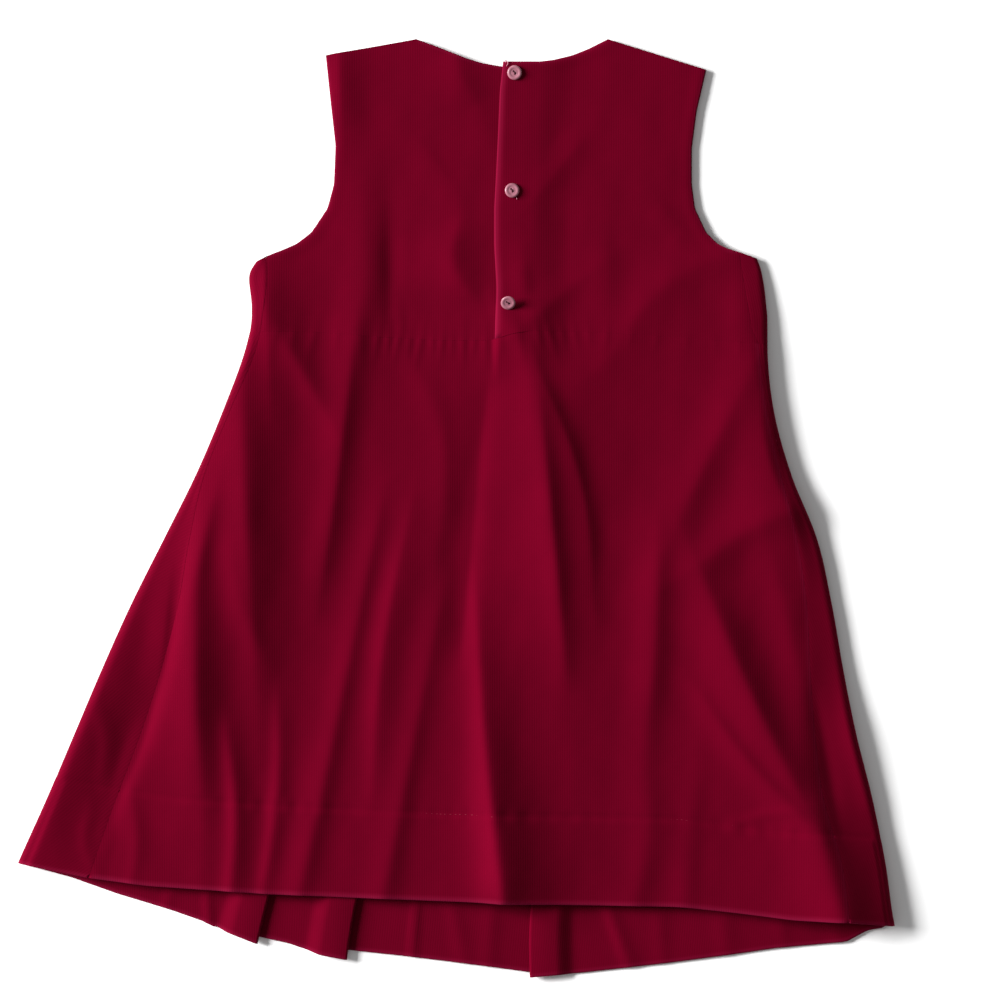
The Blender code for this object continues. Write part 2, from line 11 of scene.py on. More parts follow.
import bpy
import numpy as np
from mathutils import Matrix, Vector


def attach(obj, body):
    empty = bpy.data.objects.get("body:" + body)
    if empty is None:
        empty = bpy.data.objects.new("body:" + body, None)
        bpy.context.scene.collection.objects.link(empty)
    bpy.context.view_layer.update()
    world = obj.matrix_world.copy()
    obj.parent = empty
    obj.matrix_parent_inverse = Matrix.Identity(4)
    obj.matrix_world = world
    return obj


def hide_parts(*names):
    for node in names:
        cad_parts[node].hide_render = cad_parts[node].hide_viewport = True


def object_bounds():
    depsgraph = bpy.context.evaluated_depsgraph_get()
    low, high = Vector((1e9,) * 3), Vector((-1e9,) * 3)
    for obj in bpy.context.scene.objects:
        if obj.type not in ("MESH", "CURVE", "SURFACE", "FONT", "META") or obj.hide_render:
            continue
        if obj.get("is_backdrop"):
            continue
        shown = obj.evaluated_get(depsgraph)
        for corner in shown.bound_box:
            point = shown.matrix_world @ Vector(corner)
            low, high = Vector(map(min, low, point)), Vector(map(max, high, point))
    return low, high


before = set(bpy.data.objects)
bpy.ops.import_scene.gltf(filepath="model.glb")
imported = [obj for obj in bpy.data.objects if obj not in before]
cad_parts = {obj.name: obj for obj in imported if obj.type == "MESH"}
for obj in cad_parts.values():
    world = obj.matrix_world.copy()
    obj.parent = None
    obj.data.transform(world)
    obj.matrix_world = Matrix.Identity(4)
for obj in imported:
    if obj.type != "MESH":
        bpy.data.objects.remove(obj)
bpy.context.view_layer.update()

MM = 0.001
print("nodes:", sorted(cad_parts))

# %% [markdown]
# ## Camera
# The picture was taken from straight above. A camera far away with a long lens keeps the outline true,
# because a near one would swell the parts that lie higher. The lens follows from the width that it sees.

# %% Camera
SEEN = 620                     # width of the picture on the table
CENTRE_X, CENTRE_Y = 26.97, 5.146
CLOTH_MIDDLE = 5               # height of the cloth's middle above the table
CAMERA_HEIGHT = 3000           # above the cloth's middle
SENSOR = 36
FAR_END = 20                   # the camera sees this many metres
camera_data = bpy.data.cameras.new("Camera")
camera_data.sensor_width = SENSOR
camera_data.lens = SENSOR * CAMERA_HEIGHT / SEEN
camera_data.clip_end = FAR_END
camera = bpy.data.objects.new("Camera", camera_data)
camera.location = (CENTRE_X * MM, CENTRE_Y * MM, (CAMERA_HEIGHT + CLOTH_MIDDLE) * MM)
bpy.context.scene.collection.objects.link(camera)
bpy.context.scene.camera = camera
print("lens:", round(camera_data.lens, 1), "mm")

# %% [markdown]
# ## Light
# The folds are bright on their left and dark on their right, so the main light is a large soft one from
# the left, fairly low. The pale sky fills the shadows. The standard view keeps the cloth's deep red,
# which a film-like view would wash out.

# %% Light and floor
SKY_STRENGTH = 0.3
FLOOR_SIZE = 6000


def area_light(name, place, target, size, power):
    """A square soft light at a place, turned to face a target, in metres and watts."""
    data = bpy.data.lights.new(name, "AREA")
    data.shape = "SQUARE"
    data.size = size
    data.energy = power
    lamp = bpy.data.objects.new(name, data)
    aim = np.array(target, float) - np.array(place, float)
    aim = aim / np.linalg.norm(aim)
    lamp.rotation_euler = (math.acos(-aim[2]), 0, math.atan2(aim[1], aim[0]) - math.pi / 2)
    lamp.location = place
    bpy.context.scene.collection.objects.link(lamp)
    return lamp


area_light("Window light", place=(-3.6, 0.9, 1.6), target=(0.0, 0.0, 0.0), size=1.7, power=600)
world = bpy.context.scene.world or bpy.data.worlds.new("World")
bpy.context.scene.world = world
world.use_nodes = True
sky = world.node_tree.nodes["Background"]
sky.inputs["Color"].default_value = (1, 1, 1, 1)
sky.inputs["Strength"].default_value = SKY_STRENGTH
bpy.context.scene.view_settings.view_transform = "Standard"
bpy.context.scene.view_settings.look = "None"

floor_mesh = bpy.data.meshes.new("Floor")
corner = FLOOR_SIZE / 2 * MM
corners = [(-corner, -corner, 0), (corner, -corner, 0), (corner, corner, 0), (-corner, corner, 0)]
floor_mesh.from_pydata(corners, [], [(0, 1, 2, 3)])
floor = bpy.data.objects.new("Floor", floor_mesh)
bpy.context.scene.collection.objects.link(floor)
floor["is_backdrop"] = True
print("lights:", [o.name for o in bpy.data.objects if o.type == "LIGHT"])

# %% [markdown]
# ## Shader maths
# A node tree written by hand is long. This small class wraps a socket, so that sums and products of
# values can be written as Python expressions, and each one adds its Math node.

# %% A socket that can be added and multiplied
class Value:
    """A number that varies over the surface, as the output socket of a node."""

    def __init__(self, tree, socket):
        self.tree, self.socket = tree, socket

    def math(self, operation, *others):
        """One Math node, with this value first."""
        return self.tree.add("ShaderNodeMath", {"operation": operation}, [self, *others])

    def __add__(self, other):
        return self.math("ADD", other)

    __radd__ = __add__

    def __mul__(self, other):
        return self.math("MULTIPLY", other)

    __rmul__ = __mul__

    def __sub__(self, other):
        return self.math("SUBTRACT", other)

    def __rsub__(self, other):
        return self.tree.add("ShaderNodeMath", {"operation": "SUBTRACT"}, [other, self])


class Tree:
    """The nodes of one new material, which holds a Principled shader."""

    def __init__(self, name, colour, roughness, **constants):
        self.material = bpy.data.materials.new(name)
        self.material.use_nodes = True
        self.material.diffuse_color = (*colour, 1)
        self.tree = self.material.node_tree
        self.shader = self.tree.nodes["Principled BSDF"]
        self.shader.inputs["Base Color"].default_value = (*colour, 1)
        self.shader.inputs["Roughness"].default_value = roughness
        for socket, number in constants.items():
            self.shader.inputs[socket.replace("_", " ")].default_value = number

    def add(self, kind, settings=None, sockets=(), output=0):
        """A node of a kind: its settings are set first, then the values or links of its sockets."""
        node = self.tree.nodes.new(kind)
        for name, setting in (settings or {}).items():
            setattr(node, name, setting)
        pairs = sockets.items() if isinstance(sockets, dict) else enumerate(sockets)
        for name, given in pairs:
            if isinstance(given, Value):
                self.tree.links.new(given.socket, node.inputs[name])
            else:
                node.inputs[name].default_value = given
        return Value(self, node.outputs[output])

    def blend(self, share, first, second):
        """Colour between two colours, by a share from 0 to 1."""
        node = self.tree.nodes.new("ShaderNodeMix")
        node.data_type = "RGBA"
        for slot_number, given in ((0, share), (6, first), (7, second)):
            if isinstance(given, Value):
                self.tree.links.new(given.socket, node.inputs[slot_number])
            else:
                node.inputs[slot_number].default_value = given
        return Value(self, node.outputs[2])

    def feed(self, socket, given):
        """Links a value to a socket of the Principled shader."""
        self.tree.links.new(given.socket, self.shader.inputs[socket])
        return self


def noise(tree, place, scale, detail=2.0, roughness=0.5):
    """Soft cloudy values about 0.5 over a place."""
    return tree.add("ShaderNodeTexNoise", {"noise_dimensions": "3D"},
                    {"Vector": place, "Scale": scale, "Detail": detail, "Roughness": roughness})


print("socket maths ready")

# %% [markdown]
# ## Corduroy
# Corduroy is a woven cloth with cut pile in narrow ribs, called wales, that run along the piece's grain.
# Each panel carries a UV map in metres of its own flat cut, so the wales run as the cloth was cut, also
# where a panel folds back. A rib is a soft bump. Its colour is also painted lighter on the crown and darker
# in the groove, as painted shade. A very low gloss and a tinted sheen stand for the pile. An attribute paints
# a
# lighter colour along edges: a painted highlight where folded edges catch the light, with some pile wear.

# %% Corduroy
WALE = 1.45                    # from one rib to the next
WALE_WAVER = 0.25              # how far a rib strays sideways
CRIMSON = (0.1, 0.0004, 0.0086)
DEEP_CRIMSON = (0.066, 0.0002, 0.0057)
# lighter crimson painted along edges: a painted highlight where folded edges catch the light, with some pile
# wear
HIGHLIGHT_AND_WEAR_CRIMSON = (0.18, 0.006, 0.03)


def corduroy():
    """Ribs as 0.5 + 0.5 cos(2 pi across / wale), with fuzz, nap and patches of clouds over them."""
    tree = Tree("Crimson corduroy", CRIMSON, 0.9, Specular_IOR_Level=0.04, Sheen_Weight=0.18,
                Sheen_Roughness=0.5, Sheen_Tint=(0.75, 0.02, 0.12, 1), Specular_Tint=(0.9, 0.05, 0.2, 1))
    cut = tree.add("ShaderNodeUVMap", {"uv_map": "Cut"})
    split = tree.tree.nodes.new("ShaderNodeSeparateXYZ")
    tree.tree.links.new(cut.socket, split.inputs[0])
    across = Value(tree, split.outputs[0])
    place = tree.add("ShaderNodeTexCoord", output="Object")
    waver = noise(tree, place, 220) - 0.5
    rib = ((across + waver * (WALE_WAVER * MM)) * (2 * math.pi / (WALE * MM))).math("COSINE") * 0.5 + 0.5
    rib = rib.math("POWER", 0.6)
    fuzz = noise(tree, place, 2600, detail=3, roughness=0.7)
    nap = noise(tree, place, 34, detail=4, roughness=0.6)
    patch = noise(tree, place, 9)
    # this attribute holds the painted edge highlight, with some pile wear
    highlight_and_wear = tree.add("ShaderNodeAttribute", {"attribute_name": "Highlight_and_wear"}, output="Fac")
    # painted shade and highlight: the rib term makes the colour darker in the grooves and lighter on the
    # crowns; fuzz, nap and patch are random tone
    tone = rib * 0.22 + fuzz * 0.25 + nap * 0.55 + patch * 0.35 - 0.13
    tone = tree.add("ShaderNodeClamp", {}, [tone, 0.0, 1.0])
    colour = tree.blend(tone, (*DEEP_CRIMSON, 1), (*CRIMSON, 1))
    # the painted edge highlight moves the colour towards the lighter crimson
    colour = tree.blend(highlight_and_wear, colour, (*HIGHLIGHT_AND_WEAR_CRIMSON, 1))
    height = rib * 0.6 + fuzz * 0.4
    bump = tree.add("ShaderNodeBump", {}, {"Strength": 0.3, "Distance": 0.0002, "Height": height})
    tree.feed("Base Color", colour).feed("Normal", bump).feed("Roughness", nap * 0.12 + 0.82)
    return tree.material


CLOTH_FINISH = corduroy()
print("ribs", WALE, "mm apart")

# %% [markdown]
# ## Thread, pearl and the table
# Sewing thread is matt, with painted shade between its strands, where its bump is low. The buttons are a
# cloudy mauve like shell, with a faint gloss. Both patterns are soft noise, read at the piece's own
# coordinates. The table is plain.

# %% Thread, pearl and table
def thread(name, colour):
    """Sewing thread, with painted shade between its strands: darker where its bump is low."""
    tree = Tree(name, colour, 0.6, Specular_IOR_Level=0.2)
    place = tree.add("ShaderNodeTexCoord", output="Object")
    strand = noise(tree, place, 3000)
    bump = tree.add("ShaderNodeBump", {}, {"Strength": 0.5, "Distance": 0.0001, "Height": strand})
    # painted shade: the colour is darker where the strand bump is low
    tone = tree.blend(strand, (*[c * 0.7 for c in colour], 1), (*colour, 1))
    tree.feed("Base Color", tone).feed("Normal", bump)
    return tree.material


def pearl():
    """Cloudy mauve shell with a faint gloss."""
    tree = Tree("Mauve pearl", (0.3, 0.12, 0.15), 0.4, Specular_IOR_Level=0.25, Coat_Weight=0.1,
                Coat_Roughness=0.2)
    place = tree.add("ShaderNodeTexCoord", output="Object")
    cloud = noise(tree, place, 260, detail=3, roughness=0.6)
    swirl = noise(tree, place, 700)
    tone = tree.add("ShaderNodeClamp", {}, [cloud * 1.8 + swirl * 0.5 - 0.65, 0.0, 1.0])
    colour = tree.blend(tone, (0.19, 0.062, 0.085, 1), (0.32, 0.13, 0.165, 1))
    tree.feed("Base Color", colour).feed("Roughness", swirl * 0.15 + 0.33)
    return tree.material


SEAM_THREAD = thread("Crimson thread", (0.17, 0.004, 0.022))
DARK_THREAD = thread("Dark crimson thread", (0.035, 0.001, 0.006))
PALE_THREAD = thread("Pale pink thread", (0.5, 0.2, 0.26))
PEARL = pearl()

floor_tree = Tree("Pale table", (0.93, 0.93, 0.93), 0.9, Specular_IOR_Level=0.0)
floor_mesh.materials.append(floor_tree.material)
print("materials:", [m.name for m in bpy.data.materials])

# %% [markdown]
# ## Where the seams and edges lie
# These are the same edges as the rigid model's: the sides of the skirt by height, the waist seam, the
# hems, the armholes, the neck and the placket. A table with named columns is easier to read and to
# correct than a mesh.

# %% Layers and the skirt's sides
CLOTH = 1.2                    # thickness of one layer
HEM_DEPTH = 54                 # the skirt's hem is turned up this far
FLOOR_LEVEL = 0.8              # middle of the layer on the table
BODICE_LEVEL = 2.6             # middle of the back bodice
SKIRT_LEVEL = 6.0              # middle of the back skirt
RISE_TOP, RISE_END = 165, 98   # the upper layer climbs between these heights of Y
OVERLAP = 21                   # button stand under the right back panel
STAND_RISE = 2.1               # extra height over the stand
STAND_CLEAR, STAND_SLOPE = 2, 24   # it starts this far past the stand to come down, over this width

SkirtLevel = namedtuple("SkirtLevel", "y left_fold left_seam right_seam right_fold")
SKIRT_SIDES = (
    SkirtLevel(110, -128, -121, 186, 193),
    SkirtLevel(100, -130.5, -123.5, 187, 193),
    SkirtLevel(60, -145, -140, 192, 197),
    SkirtLevel(20, -162, -156, 201, 208),
    SkirtLevel(-20, -182, -165, 211, 224),
    SkirtLevel(-60, -202, -172, 217, 233),
    SkirtLevel(-100, -220, -183, 219, 240),
    SkirtLevel(-140, -237, -196, 222, 248),
    SkirtLevel(-180, -254, -211, 227, 258),
    SkirtLevel(-220, -272, -225, 238, 266),
    SkirtLevel(-260, -289, -238, 243, 272),
    SkirtLevel(-300, -306, -251, 248, 284),
)
print(len(SKIRT_SIDES), "levels of the skirt's sides")

# %% [markdown]
# The back's edges are rows of points, as X and Y in turn. A straight stretch needs only its two ends, and
# a curved one a few more.

# %% Edges of the back
Point = namedtuple("Point", "x y")


def edge(*numbers):
    """An edge from pairs of X and Y."""
    return tuple(Point(x, y) for x, y in zip(numbers[::2], numbers[1::2]))


STAND_FOOT = Point(46, 110)
BACK_WAIST = edge(-121, 109.5, -82, 109, -46, 106, -10, 104, 21, 104, 34, 108, 46, 110, 89, 109,
                  139, 106, 187, 102)
BACK_HEM = edge(-228, -229, -191, -234, -117, -239, -20, -243, 39, -245, 139, -247, 176, -251,
                209, -255, 243, -256)
LEFT_SIDE = edge(-121, 109.5, -119, 125, -117, 143, -118, 156)
RIGHT_SIDE = edge(187, 102, 183, 111, 179, 135, 175, 159)
LEFT_ARMHOLE = edge(-118, 156, -108, 160, -99, 164, -90, 171, -80, 186, -76, 201, -75, 225, -78, 253,
                    -81, 281)
RIGHT_ARMHOLE = edge(175, 159, 168, 161, 162, 164, 155, 171, 148, 186, 146, 201, 146, 223, 149, 246,
                     155, 272)
LEFT_SHOULDER = edge(-81, 281, -53, 286, -25, 291)
LEFT_NECK = edge(-25, 291, -14, 287, 6, 279, 16, 276, 28, 274, 49, 273)
RIGHT_NECK = edge(29, 277, 52, 277, 60, 278, 72, 281, 82, 285, 94, 291)
RIGHT_SHOULDER = edge(94, 291, 155, 272)
PLACKET = edge(24, 108, 25, 137, 23.5, 162, 23.5, 186, 24.5, 204, 26, 235, 27, 259, 29, 277)
BUTTON_PLACES = edge(36, 270, 34.5, 197, 32, 127)
print("skirt is", BACK_HEM[-1].x - BACK_HEM[0].x, "mm wide at the back hem")

# %% [markdown]
# The front is a little wider than the back. Its armholes and neck lie deeper, and its hem has a step at
# each of the three pleats.

# %% Edges of the front
FRONT_LEFT_FOLD = edge(-128, 110, -127, 117, -127, 127, -129, 142, -128.3, 147, -124.5, 152)
FRONT_RIGHT_FOLD = edge(193, 101.5, 193, 110, 193, 119, 191, 138, 188.9, 149, 186.5, 154.6)
FRONT_LEFT_ARMHOLE = edge(-124.5, 152, -119, 154.2, -112, 156, -96, 163,
                          -85, 173, -77, 186, -73, 201, -72, 225, -75, 253, -80, 280)
FRONT_RIGHT_ARMHOLE = edge(186.5, 154.6, 183, 156.6, 177, 158, 172, 158.4, 159, 163,
                           151, 172, 145, 187, 143, 201, 143, 223, 146, 246, 153, 271)
FRONT_LEFT_SHOULDER = edge(-80, 280, -27, 289)
FRONT_NECK = edge(-27, 289, -21, 262, -8, 244, 12, 234, 35, 231, 58, 234, 78, 244, 91, 262, 97, 288)
FRONT_RIGHT_SHOULDER = edge(97, 288, 153, 271)
FRONT_HEM = (
    edge(-272, -220, -239, -229, -211, -239, -178, -249, -158, -256, -144, -263, -124, -270),
    edge(-122, -266, -104, -270, -85, -277, -69, -280),
    edge(-68, -274, -31, -278, 17, -284, 46, -288),
    edge(46, -291, 80, -288, 133, -282, 178, -276, 198, -273, 242, -269, 255, -262, 272, -259),
)
Pleat = namedtuple("Pleat", "across on_top")
FRONT_PLEATS = (Pleat(0.298, "left"), Pleat(0.398, "left"), Pleat(0.597, "right"))
print("front hem is", FRONT_HEM[-1][-1].x - FRONT_HEM[0][0].x, "mm wide")

# %% [markdown]
# ## The lie of the cloth
# Creases could come from a cloth simulation, but it would never fold where this dress does. Each ridge or
# trough is placed one by one instead. It follows a curve through three points, with a height at each, and
# falls away as a bell with its own width on each side, so that no two are alike.

# %% Ridges and troughs
Fold = namedtuple("Fold", "x0 y0 x1 y1 x2 y2 start middle end left right flare power", defaults=(2,))
END_EASE = 0.01                # rounding of a fold's two ends
CREST = 0.12                   # rounding of a sharp crest, as a share of the fold's width
FOLDS = (
    # high ridge at the left, with a hollow on its right
    Fold(-132, 111, -131, 24, -124, -91, 5, 10, 3.8, 24, 26, 0.85, 1.3),
    Fold(-139, -13, -134, -57, -121, -88, 0.3, 1.1, 0.4, 8, 7, 1, 1.8), # edge of a soft loop under the hollow
    Fold(-64, 106, -72, 36, -86, -57, 1.8, 3.3, 0.9, 12, 8, 1, 1.5),  # from the waist, right of the hollow
    Fold(-109, 109, -95, 85, -81, 60, 0.8, 2.6, 1.2, 8, 11, 1, 1.5),  # short, slanting out of the waist
    Fold(-170, -29, -179, -91, -210, -175, -1.5, -4.4, -2.6, 20, 5, 1, 1.4), # trough beside the left seam
    Fold(-149, 13, -155, -13, -162, -43, 1, 3, 1.8, 12, 8, 1, 1.6),
    Fold(-158, -23, -162, -88, -157, -175, 2.8, 10.2, 2.8, 25, 20, 0.9, 1.3), # right of that trough
    Fold(-195, -51, -221, -113, -257, -206, 1.8, 4, 4.6, 6, 20, 1, 1.4), # on the left side strip
    Fold(-142, -141, -137, -181, -140, -234, 1.2, 2.8, 2.4, 5, 9, 1, 1.6), # three at the left hem
    Fold(-111, -119, -111, -175, -120, -235, 0.6, 1.8, 1.6, 4, 7, 1, 1.6),
    Fold(-202, -181, -198, -206, -202, -232, 0.5, 1.3, 0.7, 5, 7, 1, 1.6),
    Fold(-47, 2, -72, -119, -97, -237, 1.2, 2.3, 2.8, 9, 7, 1.2, 1.6),
    Fold(-28, -7, -45, -88, -50, -168, 1.2, 3.4, 1.5, 7, 14, 1, 1.5), # left of the middle
    Fold(-10, -57, -22, -119, -45, -237, 0.8, 2.1, 2.6, 9, 7.5, 1.15, 1.6),
    Fold(19, 70, 9, -7, 4, -82, -1, -2.3, -1.6, 10, 6, 1, 1.6),       # foot of the middle ridge
    Fold(46, 101, 52, 18, 65, -100, 2, 6.2, 1.8, 22, 30, 1.1, 1.5),   # broad ridge below the placket
    Fold(51, 67, 58, 2, 67, -97, 1, 2.7, 1.1, 7, 6.5, 1, 1.5),
    Fold(50, 81, 71, 35, 82, -57, 1, 2.1, 0.6, 14, 5, 1.2, 1.5),
    Fold(13, -51, 16, -119, 29, -238, 1.4, 8, 14.5, 5.5, 13, 2.1, 1.25), # long ridge down the centre back
    Fold(124, -20, 123, -75, 117, -137, 1.4, 3.7, 1.2, 13, 10, 1, 1.6), # right of the middle
    Fold(116, -162, 119, -199, 109, -243, 0.6, 1.6, 1.4, 12, 10, 1, 1.8),
    Fold(179, 79, 156, 33, 132, -20, 1.2, 3.2, 1, 16, 12, 1, 1.6),    # slanting from the right side
    Fold(188, 70, 191, 36, 207, -4, 2, 4.2, 3, 24, 9, 1, 1.7),        # along the right side
    Fold(151, -35, 177, -15, 213, 0, 1.6, 3.4, 2, 12, 16, 1, 1.6),    # across the right side
    Fold(152, -41, 183, -118, 218, -188, 3, 8.6, 3.4, 22, 15, 1, 1.35), # towards the right hem corner
    Fold(241, -113, 249, -150, 255, -175, 1, 3, 1.5, 8, 6, 1, 1.7),   # on the right side strip
    Fold(222, -119, 229, -156, 237, -199, -0.8, -1.5, -0.6, 7, 6, 1, 1.7),
    Fold(220, -175, 227, -212, 238, -250, 1.6, 9, 13.5, 26, 23, 1, 1.35),
    Fold(193, -23, 206, -72, 220, -147, 1, 3.2, 1, 15, 15, 1, 1.6),   # beside the last one
    Fold(-179, -48, -181, -72, -185, -99, 0.5, 1.3, 0.6, 9, 4, 1),
    Fold(-227, -119, -217, -141, -220, -165, 0.3, 0.7, 0.3, 5, 7, 1),
    Fold(151, -114, 178, -154, 213, -190, 0.6, 1.8, 1.6, 8, 5, 1, 1.7),
)


def smoothstep(share):
    """0 to 1 with level ends: 3 s^2 - 2 s^3."""
    share = np.clip(share, 0, 1)
    return share * share * (3 - 2 * share)


def fold_height(fold, x, y):
    """Height of one fold: its height along the curve times exp(-(side / width)^power) across it.

    A power of 2 makes a bell, and a lower one a sharper crest with longer flanks."""
    run = np.array([fold.x2 - fold.x0, fold.y2 - fold.y0], float)
    length = np.hypot(*run)
    along_x, along_y = run / length
    middle = ((fold.x1 - fold.x0) * along_x + (fold.y1 - fold.y0) * along_y) / length
    bulge = (fold.y1 - fold.y0) * along_x - (fold.x1 - fold.x0) * along_y
    way = ((x - fold.x0) * along_x + (y - fold.y0) * along_y) / length
    on = (1 + np.sqrt(way ** 2 + END_EASE) - np.sqrt((way - 1) ** 2 + END_EASE)) / 2
    side = (y - fold.y0) * along_x - (x - fold.x0) * along_y
    side = side - bulge * on * (1 - on) / (middle * (1 - middle))
    crest = fold.start * (1 - on) ** 2 + 2 * (2 * fold.middle - (fold.start + fold.end) / 2) * on * (1 - on)
    crest = crest + fold.end * on ** 2
    wide = np.where(side < 0, fold.left, fold.right) * (1 + (fold.flare - 1) * on)
    past = (way - on) * length / (fold.left + fold.right)
    share = ((side / wide) ** 2 + CREST ** 2) ** (fold.power / 2) - CREST ** fold.power
    return crest * np.exp(-share - past ** 2)


print(len(FOLDS), "main folds")

# %% [markdown]
# Between the main folds lie many smaller ones: shallow troughs on the skirt, drag lines from the buttons
# on the bodice, and short gathers under the waist seam where the skirt was eased in.

# %% Smaller creases and gathers
CREASES = (
    Fold(-38, 101, -12, 58, -9, 14, 0.3, 0.45, 0.2, 8, 7, 1, 1.7),     # a loop left of the placket's foot
    Fold(-10, 60, -8, 20, -14, -30, 0.3, 0.6, 0.4, 8, 6, 1),
    Fold(151, -156, 145, -200, 141, -243, 0.3, 0.9, 0.8, 9, 8, 1),
    Fold(-213, -181, -211, -203, -216, -223, -0.15, -0.3, -0.2, 4, 4, 1),
    Fold(-226, -188, -230, -204, -224, -223, 0.3, 0.5, 0.3, 4, 5, 1),
    Fold(172, -196, 190, -190, 212, -188, 0.2, 0.7, 0.4, 4, 3, 1),
    # bodice
    Fold(-118, 155, -118, 135, -116, 108, 2.6, 5.2, 3.4, 9, 30, 1, 1.3), # roll along the left edge
    Fold(-59, 191, -57, 151, -59, 112, 1, 3, 2.1, 24, 17, 1, 1.5),
    Fold(-40, 197, -41, 154, -38, 112, -0.4, -1.2, -0.7, 6, 7, 1),
    Fold(-37, 129, -36, 118, -34, 107, 0.3, 0.6, 0.3, 5, 4, 1),
    Fold(-72, 289, -72, 266, -70, 236, 1.5, 2.8, 0.9, 6, 12, 1, 1.6),
    Fold(-2, 285, 2, 269, 12, 251, 1, 2, 0.7, 18, 12, 1, 1.6),
    Fold(53, 263, 54, 242, 55, 221, -0.7, -1.8, -0.6, 25, 11, 1, 1.6),
    Fold(79, 231, 65, 213, 49, 194, 0.3, 1.4, 0.7, 12, 9, 1, 1.6),    # from the middle button
    Fold(-20, 222, -13, 213, -7, 204, 0.2, 0.5, 0.2, 8, 5, 1),
    Fold(4, 180, -2, 153, 15, 128, 1, 3.8, 1, 18, 16, 1, 1.4),        # hollow left of the placket
    Fold(40, 154, 41, 143, 43, 130, 0.3, 0.9, 0.3, 8, 6, 1),
    Fold(84, 147, 64, 132, 42, 114, 0.4, 1.1, 0.7, 9, 8, 1, 1.6),     # from the lowest button
    Fold(27, 126, 31, 116, 37, 104, 0.8, 1.3, 0.5, 6, 8, 1),
    Fold(91, 165, 92, 145, 90, 126, 0.3, 1, 0.4, 14, 8, 1),
    Fold(184, 158, 131, 139, 99, 94, 0.9, 2.1, 1.1, 14, 15, 1, 1.5),  # from the right armhole to the waist
    Fold(175, 148, 177, 129, 177, 107, 0.4, 1.6, 0.8, 12, 16, 1),
    Fold(124, 188, 129, 182, 136, 174, 0.2, 0.6, 0.2, 10, 6, 1),
)
Gather = namedtuple("Gather", "x length height wide lean")
GATHERS = (
    Gather(-112, 12, 0.24, 3.0, 0.2), Gather(-101, 9, 0.21, 2.4, 0.1), Gather(-88, 16, 0.3, 3.2, 0.25),
    Gather(-74, 10, 0.24, 2.5, 0.1), Gather(-60, 14, 0.3, 3.0, 0.0), Gather(-49, 12, 0.36, 2.2, 0.15),
    Gather(-42, 9, 0.33, 1.9, 0.1), Gather(-36, 11, 0.36, 2.0, 0.2), Gather(-29, 8, 0.3, 1.8, 0.1),
    Gather(-22, 13, 0.39, 2.1, 0.2), Gather(-15, 8, 0.3, 1.7, 0.0), Gather(-9, 10, 0.36, 2.0, 0.1),
    Gather(-3, 7, 0.27, 1.7, 0.0), Gather(4, 12, 0.39, 2.1, 0.0), Gather(11, 8, 0.3, 1.8, 0.1),
    Gather(18, 10, 0.36, 2.2, 0.0), Gather(27, 9, 0.36, 2.2, -0.1), Gather(38, 14, 0.42, 3.0, -0.2),
    Gather(50, 9, 0.3, 2.0, -0.2), Gather(57, 12, 0.36, 2.2, -0.3), Gather(65, 8, 0.24, 1.9, -0.2),
    Gather(73, 10, 0.27, 2.2, -0.2), Gather(82, 7, 0.21, 2.0, -0.1), Gather(93, 9, 0.24, 2.4, 0.1),
    Gather(108, 7, 0.15, 2.2, 0.2), Gather(124, 8, 0.18, 2.6, 0.2), Gather(143, 7, 0.15, 2.4, 0.1),
    Gather(160, 9, 0.18, 2.6, 0.0), Gather(175, 8, 0.18, 2.4, 0.0),
)
print(len(CREASES), "creases and", len(GATHERS), "gathers")

# %% [markdown]
# ## The upper layer's height
# All ridges and troughs are added to a level that rises from the bodice to the skirt, which lies over the
# pleats. A faint swell keeps the cloth from looking machined. A smooth maximum stops the troughs short of
# the layer beneath, because a hard one would leave a crease there.

# %% Height of the upper layer
WAVES = (                      # length, direction in degrees, height and shift of the cloth's faint swell
    (47, 9, 0.08, 0.3), (36, 74, 0.05, 1.9), (29, -21, 0.05, 4.1), (21, 33, 0.025, 2.2),
    (15, -8, 0.02, 5.0), (12, 63, 0.008, 0.9), (9.5, -51, 0.007, 3.3),
)


def swell(x, y):
    """Faint unevenness of all the cloth: a sum of sine waves of unlike lengths and directions."""
    total = 0
    for length, turn, height, shift in WAVES:
        across = x * math.cos(math.radians(turn)) + y * math.sin(math.radians(turn))
        total = total + height * np.sin(2 * math.pi * across / length + shift + 1.3 * np.sin(y / 37 + shift))
    return total


def y_at(points, x):
    """Y of an edge at X."""
    return np.interp(x, [p.x for p in points], [p.y for p in points])


def gathers(x, y):
    """Short ridges below the waist seam, each exp(-(side / width)^2) fading with its own length."""
    down = y_at(BACK_WAIST, x) - y
    total = 0
    for g in GATHERS:
        side = (x - g.x + g.lean * down) / g.wide
        total = total + g.height * np.exp(-side ** 2 - (down / g.length) ** 2)
    return np.where(down > 0, total, total * 0.35)


def stitch_puckers(x, along, strength):
    """Small uneven ripples along a row of stitches, fading away from it."""
    ripple = np.sin(x / 1.9 + 1.5 * np.sin(x / 17)) + 0.7 * np.sin(x / 3.3 + 2 * np.sin(x / 29) + 1)
    return strength * ripple * np.exp(-(along / 5) ** 2) * (0.6 + 0.4 * np.sin(x / 23))


LOWEST_BODICE, LOWEST_RISE = 2.15, 2.55  # the upper layer's lowest middle, and how far that rises
STOP_SOFTNESS = 0.25                     # rounding where a trough reaches it


